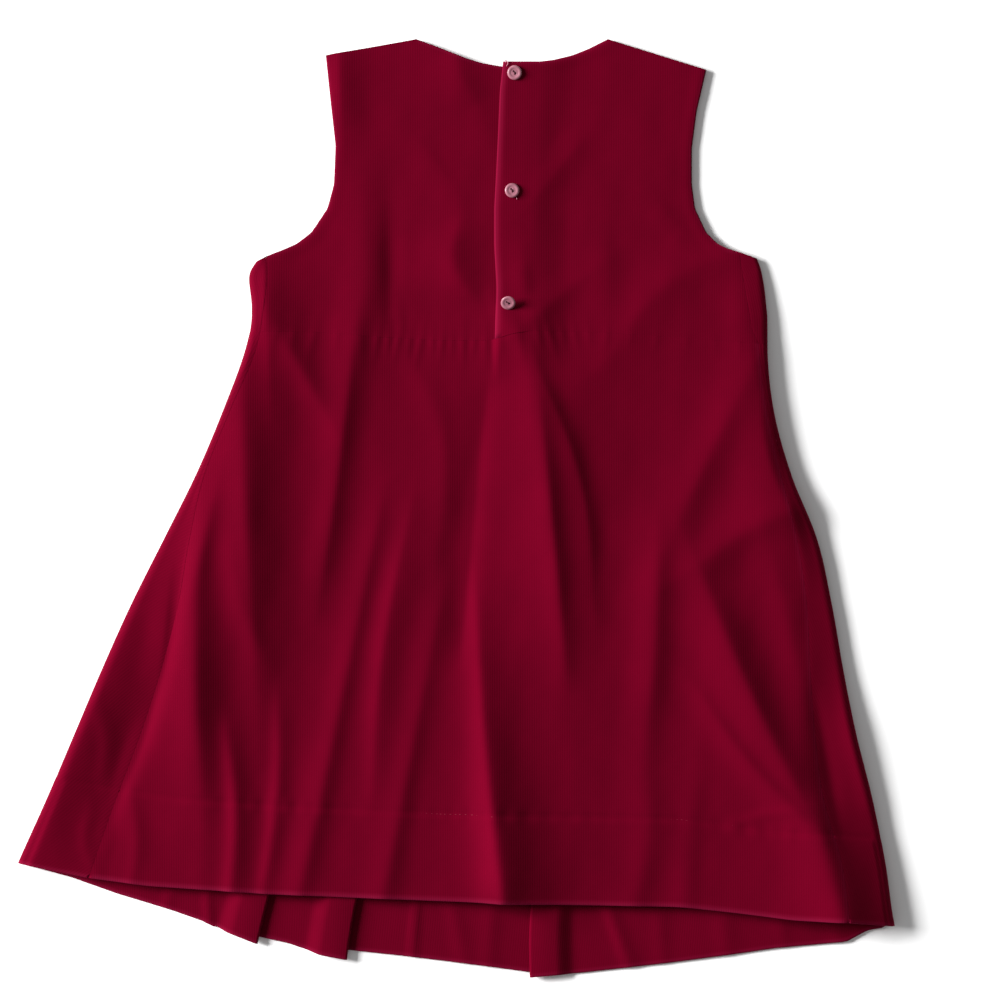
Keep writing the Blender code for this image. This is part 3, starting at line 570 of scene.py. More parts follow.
def surface(x, y):
    """Middle of the upper layer: its level, the folds, creases, gathers and swell, kept above what lies
    beneath by a smooth maximum."""
    rise = smoothstep((RISE_TOP - y) / (RISE_TOP - RISE_END))
    level = BODICE_LEVEL + (SKIRT_LEVEL - BODICE_LEVEL) * rise
    z = level + sum(fold_height(fold, x, y) for fold in FOLDS + CREASES)
    z = z + gathers(x, y) + swell(x, y)
    lowest = LOWEST_BODICE + LOWEST_RISE * rise
    over = z - lowest
    return lowest + (over + np.sqrt(over ** 2 + STOP_SOFTNESS)) / 2


def stand_lift(x, y):
    """Extra height of the right back panel over the left one's button stand."""
    at = np.interp(y, [p.y for p in PLACKET], [p.x for p in PLACKET])
    return STAND_RISE * (1 - smoothstep((x - at - OVERLAP - STAND_CLEAR) / STAND_SLOPE))


print("ridge at the left is", round(float(surface(np.array(-132.0), np.array(0.0))), 1), "mm high")

# %% [markdown]
# ## Edges as rows of points
# A panel's edge is drawn in the table by a few points. Its grid needs many, an equal way apart or at given
# shares of its width or height. Rounding the corners a little makes them look cut in cloth.

# %% Edges as rows of points
def dense(points, count):
    """An edge as count points an equal way apart along it."""
    path = np.array(points, float)
    way = np.concatenate([[0], np.cumsum(np.hypot(*np.diff(path, axis=0).T))])
    at = np.linspace(0, way[-1], count)
    return np.column_stack([np.interp(at, way, path[:, 0]), np.interp(at, way, path[:, 1])])


def eased(line, steps=2):
    """Rounds an edge's corners a little: each inner point becomes the mean of its neighbours."""
    line = line.copy()
    for _ in range(steps):
        line[1:-1] = (line[:-2] + 2 * line[1:-1] + line[2:]) / 4
    return line


def chain(*edges_and_counts):
    """Several edges joined to one, each with its own number of steps."""
    parts = [eased(dense(points, count + 1)) for points, count in edges_and_counts]
    return np.concatenate([parts[0]] + [part[1:] for part in parts[1:]])


def shares_of(line, axis):
    """How far each point of an edge has come, from 0 to 1, along X or Y."""
    return (line[:, axis] - line[0, axis]) / (line[-1, axis] - line[0, axis])


def by_width(points, shares):
    """An edge at given shares of its width."""
    path = np.array(points, float)
    x = path[0, 0] + (path[-1, 0] - path[0, 0]) * np.asarray(shares)
    return np.column_stack([x, np.interp(x, path[:, 0], path[:, 1])])


def by_height(points, shares):
    """An edge at given shares of its height."""
    path = np.array(points, float)
    y = path[0, 1] + (path[-1, 1] - path[0, 1]) * np.asarray(shares)
    return np.column_stack([np.interp(y, path[:, 1], path[:, 0]), y])


print("edge tools ready")

# %% [markdown]
# ## From four edges to a grid
# Each panel is one grid of points between its four edges. The ruled surface from left to right and the one
# from bottom to top are added, and the corners' own surface is taken away, so all four edges are met. The
# skirt's sides follow smooth curves through the table's levels.

# %% Grids between edges
def between_edges(bottom, top, left, right):
    """Points between four edges: the two ruled surfaces less the corners' own."""
    u = ((shares_of(bottom, 0) + shares_of(top, 0)) / 2)[None, :, None]
    v = ((shares_of(left, 1) + shares_of(right, 1)) / 2)[:, None, None]
    ruled = (1 - u) * left[:, None] + u * right[:, None] + (1 - v) * bottom[None] + v * top[None]
    corners = (1 - v) * ((1 - u) * bottom[0] + u * bottom[-1]) + v * ((1 - u) * top[0] + u * top[-1])
    return ruled - corners


def side_x(column, y):
    """X of a fold or seam of the skirt at the height y, on a smooth curve through the levels."""
    heights = np.array([level.y for level in SKIRT_SIDES], float)[::-1]
    places = np.array([getattr(level, column) for level in SKIRT_SIDES], float)[::-1]
    slopes = np.gradient(places, heights)
    y = np.clip(np.asarray(y, float), heights[0], heights[-1])
    lower = np.clip(np.searchsorted(heights, y, side="right") - 1, 0, len(heights) - 2)
    step = heights[lower + 1] - heights[lower]
    t = (y - heights[lower]) / step
    value = (2 * t ** 3 - 3 * t ** 2 + 1) * places[lower] + (3 * t ** 2 - 2 * t ** 3) * places[lower + 1]
    tangent = (t ** 3 - 2 * t ** 2 + t) * slopes[lower] + (t ** 3 - t ** 2) * slopes[lower + 1]
    return value + step * tangent


print("left fold at y = 0:", round(float(side_x("left_fold", 0)), 1), "mm")

# %% [markdown]
# ## From a grid to cloth
# Two grids, half a cloth's thickness above and below the middle one, joined by a rounded rim, make a closed
# shell. Solidify would do the same, but a shell worked out here can be thicker where a hem is turned up.
# The UV map holds the flat cut in metres.

# %% Pieces from arrays
def unit(vectors):
    """Vectors of length one."""
    return vectors / np.maximum(np.linalg.norm(vectors, axis=-1, keepdims=True), 1e-9)


def add_piece(name, points, faces, finish, cut=None, highlight_and_wear=None):
    """A mesh object from points in millimetres, with its cut as UV and its painted edge highlight, with some
    pile wear, as an attribute.
    """
    mesh = bpy.data.meshes.new(name)
    mesh.from_pydata((points * MM).tolist(), [], faces.tolist())
    loops = np.empty(len(mesh.loops), np.int32)
    mesh.loops.foreach_get("vertex_index", loops)
    if cut is not None:
        layer = mesh.uv_layers.new(name="Cut")
        layer.data.foreach_set("uv", (cut[loops] * MM).astype(np.float32).ravel())
    if highlight_and_wear is not None:
        wear_and_edge_highlight = mesh.attributes.new("Highlight_and_wear", "FLOAT", "POINT")
        wear_and_edge_highlight.data.foreach_set("value", highlight_and_wear.astype(np.float32))
    mesh.polygons.foreach_set("use_smooth", np.full(len(mesh.polygons), True))
    mesh.materials.append(finish)
    mesh.update()
    piece = bpy.data.objects.new(name, mesh)
    bpy.context.scene.collection.objects.link(piece)
    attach(piece, "root")
    return piece


print("piece tools ready")

# %% [markdown]
# Along the border of the grid, a third row of points bulges out a little between the two skins, so that
# an edge of cloth looks round and not cut with a knife.

# %% Closed shells
FREE_EDGE = 0.25               # an edge with less painted highlight and wear than this is a sewn one
RIM_BULGE, RIM_HIGHLIGHT_AND_WEAR = 0.16, 0.6  # roundness of a rim, and how much lighter its colour is painted, as a highlight with some pile wear


def add_cloth(name, points, cut, thick, highlight_and_wear, keep=None):
    """A closed shell round a grid: one layer of points above it, one below, and a rim between them.

    The rim is shaded round along free edges, where the painted highlight and wear is strong, and crisp where
    it is sewn."""
    rows, columns = points.shape[:2]
    normal = unit(np.cross(np.gradient(points, axis=1), np.gradient(points, axis=0))).reshape(-1, 3)
    middle = points.reshape(-1, 3)
    half = np.broadcast_to(thick, (rows, columns)).reshape(-1, 1) / 2
    number = np.arange(rows * columns).reshape(rows, columns)
    quads = np.stack([number[:-1, :-1], number[:-1, 1:], number[1:, 1:], number[1:, :-1]], axis=-1)
    quads = quads.reshape(-1, 4) if keep is None else quads[keep]
    sides = np.concatenate([quads[:, [0, 1]], quads[:, [1, 2]], quads[:, [2, 3]], quads[:, [3, 0]]])
    code = sides[:, 0] * len(middle) + sides[:, 1]
    back = sides[:, 1] * len(middle) + sides[:, 0]
    rim = sides[~np.isin(code, back)]
    out = np.zeros_like(middle)
    way = np.cross(middle[rim[:, 1]] - middle[rim[:, 0]], normal[rim[:, 0]])
    np.add.at(out, rim[:, 0], unit(way))
    np.add.at(out, rim[:, 1], unit(way))
    ring = np.unique(rim)
    place = np.full(len(middle), -1)
    total = len(middle)
    place[ring] = 2 * total + np.arange(len(ring))
    round_edge = middle[ring] + unit(out[ring]) * half[ring] * RIM_BULGE
    everything = np.concatenate([middle + normal * half, middle - normal * half, round_edge])
    first, second = rim[:, 0], rim[:, 1]
    faces = np.concatenate([
        quads, quads[:, ::-1] + total,
        np.column_stack([second, first, place[first], place[second]]),
        np.column_stack([place[second], place[first], first + total, second + total])])
    used, faces = np.unique(faces, return_inverse=True)
    cut, wear_and_edge_highlight = cut.reshape(-1, 2), np.broadcast_to(highlight_and_wear, (rows, columns)).ravel()
    cut = np.concatenate([cut, cut, cut[ring]])[used]
    # the rim's colour is painted lighter, as a highlight with some pile wear
    highlight_and_wear = np.concatenate([wear_and_edge_highlight, wear_and_edge_highlight, np.maximum(wear_and_edge_highlight[ring], RIM_HIGHLIGHT_AND_WEAR)])[used]
    piece = add_piece(name, everything[used], faces.reshape(-1, 4), CLOTH_FINISH, cut, highlight_and_wear)
    sewn = (wear_and_edge_highlight[first] < FREE_EDGE) & (wear_and_edge_highlight[second] < FREE_EDGE)
    pairs = np.searchsorted(used, np.concatenate([rim[sewn], rim[sewn] + total]))
    ends = np.empty(2 * len(piece.data.edges), np.int32)
    piece.data.edges.foreach_get("vertices", ends)
    codes = np.sort(ends.reshape(-1, 2), axis=1) @ [len(used), 1]
    piece.data.edges.foreach_set("use_edge_sharp", np.isin(codes, np.sort(pairs, axis=1) @ [len(used), 1]))
    return piece


def cloth_area(points):
    """Area of a grid's faces in square metres."""
    a = np.cross(points[1:, 1:] - points[:-1, :-1], points[1:, :-1] - points[:-1, 1:])
    return float(np.linalg.norm(a, axis=-1).sum() / 2) * MM * MM


print("shell tools ready")

# %% [markdown]
# ## Back skirt
# The back skirt is cut as one flared piece and eased onto the bodice. Its hem is turned up 54 mm and
# caught down, so that band is thicker, and the row of stitches pulls a shallow groove with small puckers.
# The edges sink a little where they are sewn to their neighbours.

# %% Hem and seams
EDGE_IN = 0.1                  # how far a sewn edge stays back from the seam, so that rims don't touch
SKIRT_ROWS, BACK_COLUMNS = 188, 238
HEM_THICK = 0.5                # extra thickness where the hem is double
HEM_GROOVE, HEM_THIN = 0.35, 0.2   # how deep the stitches pull the cloth, and how much thinner
BAND_SLOPE, GROOVE_WIDTH = 1.6, 1.3  # widths over which the band ends and the groove fades
HEM_PUCKER, STRIP_PUCKER = 0.16, 0.12
# how much lighter the hem's folded edge is painted, as a highlight with some pile wear, and how wide
HEM_HIGHLIGHT_AND_WEAR, HEM_HIGHLIGHT_WIDTH = 0.9, 1.6
SEAM_HIGHLIGHT_AND_WEAR = 0.24               # painted highlight along the right side seam, with some pile wear
CORNER = 3.5                   # the hem's painted highlight ends this far from a seam
SEAM_SINK, SEAM_WIDTH = 0.1, 1.0
FOOT_FADE = 30                 # the double stand's height is gone this far below the waist


def seam_sink(distance):
    """How far cloth sinks beside a seam: deepest at it, fading as exp(-distance / width)."""
    return SEAM_SINK * np.exp(-np.maximum(distance, 0) / SEAM_WIDTH)


def hem_band(above):
    """1 in the doubled hem, 0 above it, by the distance from the hem's edge."""
    return smoothstep((HEM_DEPTH - above) / BAND_SLOPE)


def groove(above):
    """1 on the row of hem stitches, fading within about a millimetre."""
    return np.exp(-((above - HEM_DEPTH) / GROOVE_WIDTH) ** 2)


def edge_highlight_and_wear(distance, width):
    """Painted highlight at a folded edge, with some pile wear: 1 at the edge, gone after a width."""
    return np.exp(-(np.maximum(distance, 0) / width) ** 2)


def foot_lift(x, y):
    """The skirt's top is sewn to the double button stand, so it starts as high and flattens below it."""
    start = smoothstep((x - PLACKET[0].x + 2) / 4)
    return stand_lift(x, y) * start * (1 - smoothstep((y_at(BACK_WAIST, x) - y) / FOOT_FADE))


def sheet_heights(x, y, above):
    """Middle of the upper skirt with its hem: the surface, the band's half thickness and the groove."""
    z = surface(x, y) + foot_lift(x, y) + HEM_THICK / 2 * hem_band(above)
    return z - HEM_GROOVE * groove(above) + stitch_puckers(x, above - HEM_DEPTH, HEM_PUCKER)


print("hem band:", HEM_DEPTH, "mm deep and", CLOTH + HEM_THICK, "mm thick")

# %% [markdown]
# The panel's left and right edges are the side seams, its top is the waist seam and its bottom the hem.
# Its plan is also its flat cut, because the skirt lies nearly level.

# %% Back skirt panel
down = np.linspace(0, 1, SKIRT_ROWS + 1)
rows_y = BACK_WAIST[0].y - EDGE_IN + (BACK_HEM[0].y - BACK_WAIST[0].y + EDGE_IN) * down
left_line = np.column_stack([side_x("left_seam", rows_y) + EDGE_IN, rows_y])
rows_y = BACK_WAIST[-1].y - EDGE_IN + (BACK_HEM[-1].y - BACK_WAIST[-1].y + EDGE_IN) * down
right_line = np.column_stack([side_x("right_seam", rows_y) - EDGE_IN, rows_y])
share = np.linspace(0, 1, BACK_COLUMNS + 1)
waist_line = eased(by_width(BACK_WAIST, share), 4) - [0, EDGE_IN]
hem_line = eased(by_width(BACK_HEM, share), 6)
waist_line[0], waist_line[-1] = left_line[0], right_line[0]
hem_line[0], hem_line[-1] = left_line[-1], right_line[-1]
plan = between_edges(waist_line, hem_line, left_line, right_line)[::-1]
x, y = plan[..., 0], plan[..., 1]
above_hem = y - y[:1]
to_seam = np.minimum(x - side_x("left_seam", y), side_x("right_seam", y) - x)
height = sheet_heights(x, y, above_hem) - seam_sink(to_seam) - seam_sink(y[-1:] - y)
thickness = CLOTH + HEM_THICK * hem_band(above_hem) - HEM_THIN * groove(above_hem)
# painted highlight along the hem's folded edge and the right side seam, with some pile wear
wear_and_edge_highlight = HEM_HIGHLIGHT_AND_WEAR * edge_highlight_and_wear(above_hem, HEM_HIGHLIGHT_WIDTH) * smoothstep(to_seam / CORNER)
wear_and_edge_highlight = np.maximum(wear_and_edge_highlight, SEAM_HIGHLIGHT_AND_WEAR * edge_highlight_and_wear(side_x("right_seam", y) - x, HEM_HIGHLIGHT_WIDTH))
points = np.dstack([x, y, height])
back_skirt = add_cloth("Back_skirt_panel", points, plan, thickness, wear_and_edge_highlight)
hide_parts("back_skirt")
print("back skirt:", plan.shape, "area", round(cloth_area(points), 4))

# %% [markdown]
# ## Back bodice
# Two halves meet at the centre back. The left one runs on under the right one as a button stand. The right
# one ends in a folded edge that shows as a thin bright line, a painted highlight where the fold catches the
# light, with some pile wear. The neck and armholes are turned in, so their edges are rounded and sink
# slightly, and a fainter painted highlight lines them.

# %% Edges of the bodice
BODICE_ROWS = (26, 114)        # rows below and above the underarm
PLACKET_HIGHLIGHT_AND_WEAR, PLACKET_HIGHLIGHT_WIDTH = 0.45, 2.5   # how much lighter the folded edge is painted, as a highlight with some pile wear, and how wide
PLACKET_DIP, PLACKET_DIP_WIDTH = 0.65, 2.2   # it rounds down to its edge
EDGE_HIGHLIGHT_AND_WEAR, EDGE_HIGHLIGHT_WIDTH = 0.35, 1.2   # the same two for the neck and armholes
EDGE_DIP, EDGE_DIP_WIDTH = 0.4, 1.6
TURNED_IN = 0.3                # extra thickness where an edge is turned in
TURNED_WIDTH, TURNED_SLOPE = 9, 6
STAND_EDGE, STAND_EASE = 4, 10
SEAM_CALM = 2.5                # no painted highlight nearer to a seam than this
WAIST_IN = EDGE_IN - 0.15      # the bodice reaches a little over the middle of the waist seam


def bodice_side(side, armhole, inward):
    """A side seam and the armhole above it as one line, drawn in a little from the seam."""
    line = chain((side, BODICE_ROWS[0]), (armhole, BODICE_ROWS[1]))
    line[:, 0] += inward * EDGE_IN
    return line


def distance_to(points, x, y):
    """Distance in plan from each grid point to an edge's line of points."""
    line = dense(points, 90)
    far = np.full(x.shape, 1e9)
    for px, py in line:
        far = np.minimum(far, (x - px) ** 2 + (y - py) ** 2)
    return np.sqrt(far)


def bodice_half(name, node, plan, lift, open_edges, sewn, folded):
    """One half of the back bodice from its plan points, with its edges' roundings."""
    x, y = plan[..., 0], plan[..., 1]
    z = surface(x, y) + lift
    wear_and_edge_highlight = np.zeros_like(x)
    thick = np.full_like(x, CLOTH)
    for points in open_edges:
        far = distance_to(points, x, y)
        z = z - EDGE_DIP * np.exp(-(far / EDGE_DIP_WIDTH) ** 2)
        # painted highlight along the turned-in neck and armhole edges, with some pile wear
        wear_and_edge_highlight = np.maximum(wear_and_edge_highlight, EDGE_HIGHLIGHT_AND_WEAR * edge_highlight_and_wear(far, EDGE_HIGHLIGHT_WIDTH))
        thick = thick + TURNED_IN * smoothstep((TURNED_WIDTH - far) / TURNED_SLOPE)
    for points in sewn:
        far = distance_to(points, x, y)
        z = z - seam_sink(far)
        wear_and_edge_highlight = wear_and_edge_highlight * smoothstep(far / SEAM_CALM)
    if folded is not None:
        far = x - np.interp(y, [p.y for p in folded], [p.x for p in folded])
        thick = thick + TURNED_IN * smoothstep((OVERLAP + STAND_EDGE - far) / STAND_EASE)
        z = z - PLACKET_DIP * np.exp(-(np.maximum(far, 0) / PLACKET_DIP_WIDTH) ** 2)
        # painted highlight along the placket's fold, with some pile wear
        wear_and_edge_highlight = np.maximum(wear_and_edge_highlight, PLACKET_HIGHLIGHT_AND_WEAR * edge_highlight_and_wear(far, PLACKET_HIGHLIGHT_WIDTH))
    points = np.dstack([x, y, z])
    panel = add_cloth(name, points, plan, thick, wear_and_edge_highlight)
    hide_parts(node)
    print(name, plan.shape, "area", round(cloth_area(points), 4))
    return panel


print("button stand:", OVERLAP, "mm wide")

# %% [markdown]
# Each half runs from its side seam and armhole to the centre back, and from the waist to the shoulder and
# neck. The left half's inner edge is the placket's, moved over by the width of the stand.

# %% Left and right back bodice
side = bodice_side(LEFT_SIDE, LEFT_ARMHOLE, 1)
top = chain((LEFT_SHOULDER, 44), (LEFT_NECK, 66))
top[0] = side[-1]
stand = by_height(PLACKET, shares_of(side, 1))
stand = np.column_stack([stand[:, 0] + OVERLAP, np.linspace(STAND_FOOT.y, top[-1, 1], len(side))])
stand[-1] = top[-1]
waist = by_width(BACK_WAIST[:BACK_WAIST.index(STAND_FOOT) + 1], shares_of(top, 0)) + [0, WAIST_IN]
waist[0], waist[-1] = side[0], stand[0]
plan = between_edges(eased(waist, 4), top, side, eased(stand, 6))
back_left = bodice_half("Back_bodice_left_panel", "back_bodice_left", plan, 0,
                        [LEFT_ARMHOLE, LEFT_NECK], [LEFT_SIDE, LEFT_SHOULDER, BACK_WAIST], None)

side = bodice_side(RIGHT_SIDE, RIGHT_ARMHOLE, -1)
top = chain((RIGHT_NECK, 62), (RIGHT_SHOULDER, 52))
top[-1] = side[-1]
fold_line = by_height(PLACKET, shares_of(side, 1))
fold_line[0, 1] = y_at(BACK_WAIST, PLACKET[0].x)
fold_line[-1] = top[0]
waist = by_width((Point(*fold_line[0]),) + BACK_WAIST[5:], shares_of(top, 0))
waist = waist + [0, WAIST_IN]
waist[0], waist[-1] = fold_line[0], side[0]
plan = between_edges(eased(waist, 4), top, eased(fold_line, 6), side)
back_right = bodice_half("Back_bodice_right_panel", "back_bodice_right", plan,
                         stand_lift(plan[..., 0], plan[..., 1]), [RIGHT_ARMHOLE, RIGHT_NECK],
                         [RIGHT_SIDE, RIGHT_SHOULDER, BACK_WAIST[6:]], PLACKET)

# %% [markdown]
# ## Front, rolled over at the sides
# The front is wider than the back, so it rolls over at each side and comes up to the side seam. The strip
# on top and the layer on the table are one piece of cloth, joined by half an ellipse. Where a strip lies
# folded over, its grain is the mirror image of the layer below, as on paper.

# %% The roll at each side
ROLL_WIDTH, ROLL_SHARE = 4.5, 0.5  # a roll is at most this wide, and this share of its strip
ROLL_BEND = 1.1                # radius of its tightest bend
ROLL_SKIN = 0.7                # from the middle of the cloth to the outline
ROLL_STEPS, STRIP_COLUMNS = 10, 26


def floor_swell(x, y):
    """The layer on the table rises here and there, never below the table."""
    return 0.12 * (1 + np.sin(x / 7.3 + 1.3 * np.sin(y / 31))) * (1 + np.sin(y / 23 + np.sin(x / 19))) / 2


def side_strip(fold, seam, inward):
    """Points and cut of the strip and roll at one side, from the seam round to the table, row by row."""
    room = np.minimum(ROLL_WIDTH, ROLL_SHARE * np.abs(seam[:, 0] - fold[:, 0]))
    half = (surface(fold[:, 0] + inward * room, fold[:, 1]) - FLOOR_LEVEL) / 2
    wide = np.minimum(room, half ** 2 / ROLL_BEND)
    turn = np.linspace(0, math.pi, ROLL_STEPS + 1)[None, :]
    roll_x = fold[:, :1] + inward * (ROLL_SKIN + wide[:, None] * (1 - np.sin(turn)))
    roll_z = FLOOR_LEVEL + half[:, None] * (1 + np.cos(turn))
    share = np.linspace(0, 1, STRIP_COLUMNS + 1)[None, :-1]
    seam_x = seam[:, :1] - inward * EDGE_IN
    strip_x = seam_x + share * (roll_x[:, :1] - seam_x)
    x = np.concatenate([strip_x, roll_x], axis=1)
    inside = np.clip((x - seam_x) / (fold[:, :1] - seam_x), 0, 1)
    inside[:, STRIP_COLUMNS + ROLL_STEPS // 2:] = 1
    y = seam[:, 1:] + inside * (fold[:, 1:] - seam[:, 1:])
    meet = roll_z[:, :1] - surface(roll_x[:, :1], y[:, STRIP_COLUMNS:STRIP_COLUMNS + 1])
    strip_z = surface(strip_x, y[:, :STRIP_COLUMNS]) + smoothstep(share) * meet
    strip_z = strip_z - seam_sink(np.abs(strip_x - seam[:, :1])) * (1 - smoothstep(share))
    z = np.concatenate([strip_z, roll_z], axis=1)
    slope = np.gradient(fold[:, 0], fold[:, 1])[:, None]
    across = (x - fold[:, :1]) / np.sqrt(1 + slope ** 2)
    upper = np.ones_like(x)
    upper[:, STRIP_COLUMNS + ROLL_STEPS // 2:] = 0
    cut_x = x - 2 * upper * across / np.sqrt(1 + slope ** 2)
    cut_y = y + 2 * upper * across * slope / np.sqrt(1 + slope ** 2)
    return np.dstack([x, y, z]), np.dstack([cut_x, cut_y])


print("a roll is up to", ROLL_WIDTH, "mm wide")

# %% [markdown]
# ## Front bodice
# The layer on the table is one grid up to the shoulders and the round neck. The strips join its columns
# below the armholes only, so the grid's cells beside the armholes are left out.

# %% Front bodice on the table
FRONT_ROWS = (26, 70)          # rows below and above the underarm
FRONT_WAIST_DIP = 0.2
left_fold = eased(dense(FRONT_LEFT_FOLD, FRONT_ROWS[0] + 1), 3)
right_fold = eased(dense(FRONT_RIGHT_FOLD, FRONT_ROWS[0] + 1), 3)
left = np.concatenate([left_fold, eased(dense(FRONT_LEFT_ARMHOLE, FRONT_ROWS[1] + 1))[1:]])
right = np.concatenate([right_fold, eased(dense(FRONT_RIGHT_ARMHOLE, FRONT_ROWS[1] + 1))[1:]])
left_strip, left_cut = side_strip(left_fold, dense(LEFT_SIDE, FRONT_ROWS[0] + 1), 1)
right_strip, right_cut = side_strip(right_fold, dense(RIGHT_SIDE, FRONT_ROWS[0] + 1), -1)
right_strip, right_cut = right_strip[:, ::-1], right_cut[:, ::-1]
left[:FRONT_ROWS[0] + 1] = left_strip[:, -1, :2]
right[:FRONT_ROWS[0] + 1] = right_strip[:, 0, :2]
top = chain((FRONT_LEFT_SHOULDER, 26), (FRONT_NECK, 60), (FRONT_RIGHT_SHOULDER, 28))
waist = left[0] + (right[0] - left[0]) * shares_of(top, 0)[:, None]
floor_plan = between_edges(waist, top, left, right)
fx, fy = floor_plan[..., 0], floor_plan[..., 1]
fz = FLOOR_LEVEL + floor_swell(fx, fy)
fz[:, 0], fz[:, -1] = FLOOR_LEVEL, FLOOR_LEVEL
print("layer on the table:", fx.shape)

# %% [markdown]
# The strips' columns go to the left and right of that grid. Above the underarm they run on as spare points
# that no face uses, so that one array holds the whole piece.

# %% Strips joined to the front bodice
beside = left_strip.shape[1] - 1
rows, columns = fx.shape
points = np.zeros((rows, columns + 2 * beside, 3))
cut = np.zeros((rows, columns + 2 * beside, 2))
points[:, beside:-beside], cut[:, beside:-beside] = np.dstack([fx, fy, fz]), floor_plan
low = FRONT_ROWS[0] + 1
points[:low, :beside], cut[:low, :beside] = left_strip[:, :-1], left_cut[:, :-1]
points[:low, -beside:], cut[:low, -beside:] = right_strip[:, 1:], right_cut[:, 1:]
keep = np.ones((rows - 1, points.shape[1] - 1), bool)
keep[low - 1:, :beside] = False
keep[low - 1:, -beside:] = False
for column in list(range(beside)) + list(range(-beside, 0)):
    step = points[low - 1, column] - points[low - 2, column]
    points[low:, column] = points[low - 1, column] + step * np.arange(1, rows - low + 1)[:, None]
points[0, :, 2] -= FRONT_WAIST_DIP
front_bodice = add_cloth("Front_bodice_panel", points, cut, CLOTH, 0.0, keep)
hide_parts("front_bodice")
area = sum(cloth_area(part) for part in (np.dstack([fx, fy, fz]), left_strip, right_strip))
print("front bodice:", points.shape, "area", round(area, 4))

# %% [markdown]
# ## Front skirt with its knife pleats
# The front skirt lies on the table with three pleats folded flat: the cloth climbs a ramp, turns back
# under its own folded edge, and turns again to lie on the table. A section along the cloth gives these
# points once, and every row of the skirt follows it, so the pleats are real layers.

# %% Sizes of the front skirt
FRONT_SKIRT_ROWS = 142
ROWS_CROWD = 0.45              # rows lie closer together at the waist and hem by this share
PLEAT_LAYER = 1.8              # from one layer's middle to the next
PLEAT_REST, PLEAT_RAMP = 1.5, 12
PLEAT_DEPTH_WAIST, PLEAT_DEPTH_HEM, TUCKED_SHORTER = 8, 13, 4
TURN_STEPS, RAMP_STEPS = 7, 8
FLAT_COLUMNS = (54, 9, 40, 72)
FLAT_EASE = 5                  # hollows fade out this near to a pleat or roll
FRONT_HEM_THICK = 0.2          # extra thickness of the hem underneath
# how much lighter the hem's edge is painted, as a highlight with some pile wear, and how wide
FRONT_HIGHLIGHT_AND_WEAR, FRONT_HIGHLIGHT_WIDTH = 0.6, 1.4
FRONT_CREASES = (
    Fold(-154, -228, -155, -240, -154, -256, 0.5, 0.9, 0.7, 2, 4, 1),
    Fold(-176, -226, -178, -238, -182, -250, 0.3, 0.6, 0.4, 3, 5, 1),
    Fold(-216, -205, -222, -220, -228, -232, 0.3, 0.7, 0.5, 4, 6, 1),
    Fold(-24, -225, -26, -250, -28, -282, 0.6, 1.1, 0.8, 1.6, 2.6, 1.2),
    Fold(-8, -225, -2, -250, 4, -280, 0.3, 0.7, 0.5, 4, 5, 1.2),
    Fold(24, -225, 22, -250, 20, -284, 0.3, 0.6, 0.5, 5, 5, 1),
    Fold(86, -230, 98, -260, 108, -288, 0.7, 1.3, 0.9, 2.4, 5, 1.3),
    Fold(124, -230, 126, -255, 128, -284, 0.2, 0.6, 0.4, 5, 5, 1),
    Fold(164, -236, 166, -256, 168, -278, 0.3, 0.7, 0.5, 6, 7, 1),
    Fold(200, -240, 201, -256, 203, -272, 0.2, 0.5, 0.3, 5, 5, 1),
    Fold(232, -244, 234, -256, 237, -268, 0.3, 0.6, 0.4, 5, 6, 1),
    Fold(-60, 40, -70, -60, -84, -200, 0.1, 0.7, 0.5, 6, 9, 1.3),
    Fold(-10, 60, -14, -60, -20, -200, 0.1, 0.6, 0.4, 8, 8, 1.3),
    Fold(20, 40, 22, -60, 18, -200, 0.1, 0.5, 0.4, 7, 9, 1.2),
    Fold(120, 70, 130, -40, 150, -200, 0.1, 0.8, 0.5, 9, 11, 1.2),
    Fold(170, 40, 186, -60, 205, -190, 0.1, 0.6, 0.5, 7, 9, 1.2),
    Fold(-140, 30, -165, -60, -190, -180, 0.1, 0.8, 0.5, 9, 8, 1.2),
)
print(len(FRONT_PLEATS), "pleats and", len(FRONT_CREASES), "soft folds in the front skirt")

# %% [markdown]
# A pleat's section is drawn once: a ramp, half a turn, the tucked layer, half a turn back, and the rest on
# the table. Its depth grows towards the hem, because the skirt is flared.

# %% Pleats
def pleat_section(on_top):
    """Points along the cloth of a pleat: offsets from its folded edge, the share of its depth that adds
    to each, Z, and whose hem it has (0 the upper layer, 1 the tucked one, 2 the lower)."""
    bend = PLEAT_LAYER / 2
    low, middle, high = FLOOR_LEVEL, FLOOR_LEVEL + PLEAT_LAYER, FLOOR_LEVEL + 2 * PLEAT_LAYER
    turn = np.linspace(math.pi / 2, -math.pi / 2, TURN_STEPS + 1)
    ramp = np.linspace(0, 1, RAMP_STEPS + 1)
    offset = np.concatenate([-bend - PLEAT_REST - PLEAT_RAMP * (1 - ramp), bend * (np.cos(turn) - 1),
                             -bend * np.cos(turn), [PLEAT_REST]])
    deep = np.repeat([-1, 0, -1, 0], [len(ramp), len(turn), len(turn), 1])
    z = np.concatenate([low + (high - low) * smoothstep(ramp), (middle + high) / 2 + bend * np.sin(turn),
                        (low + middle) / 2 + bend * np.sin(turn), [low]])
    layer = np.repeat([0, 1, 2], [len(ramp) + len(turn), len(turn), 1])
    if on_top == "right":
        return -offset[::-1], -deep[::-1], z[::-1], layer[::-1]
    return offset, deep, z, layer


def pleat_edge(across, y):
    """X of a pleat's folded edge at the height y."""
    return (1 - across) * side_x("left_fold", y) + across * side_x("right_fold", y)


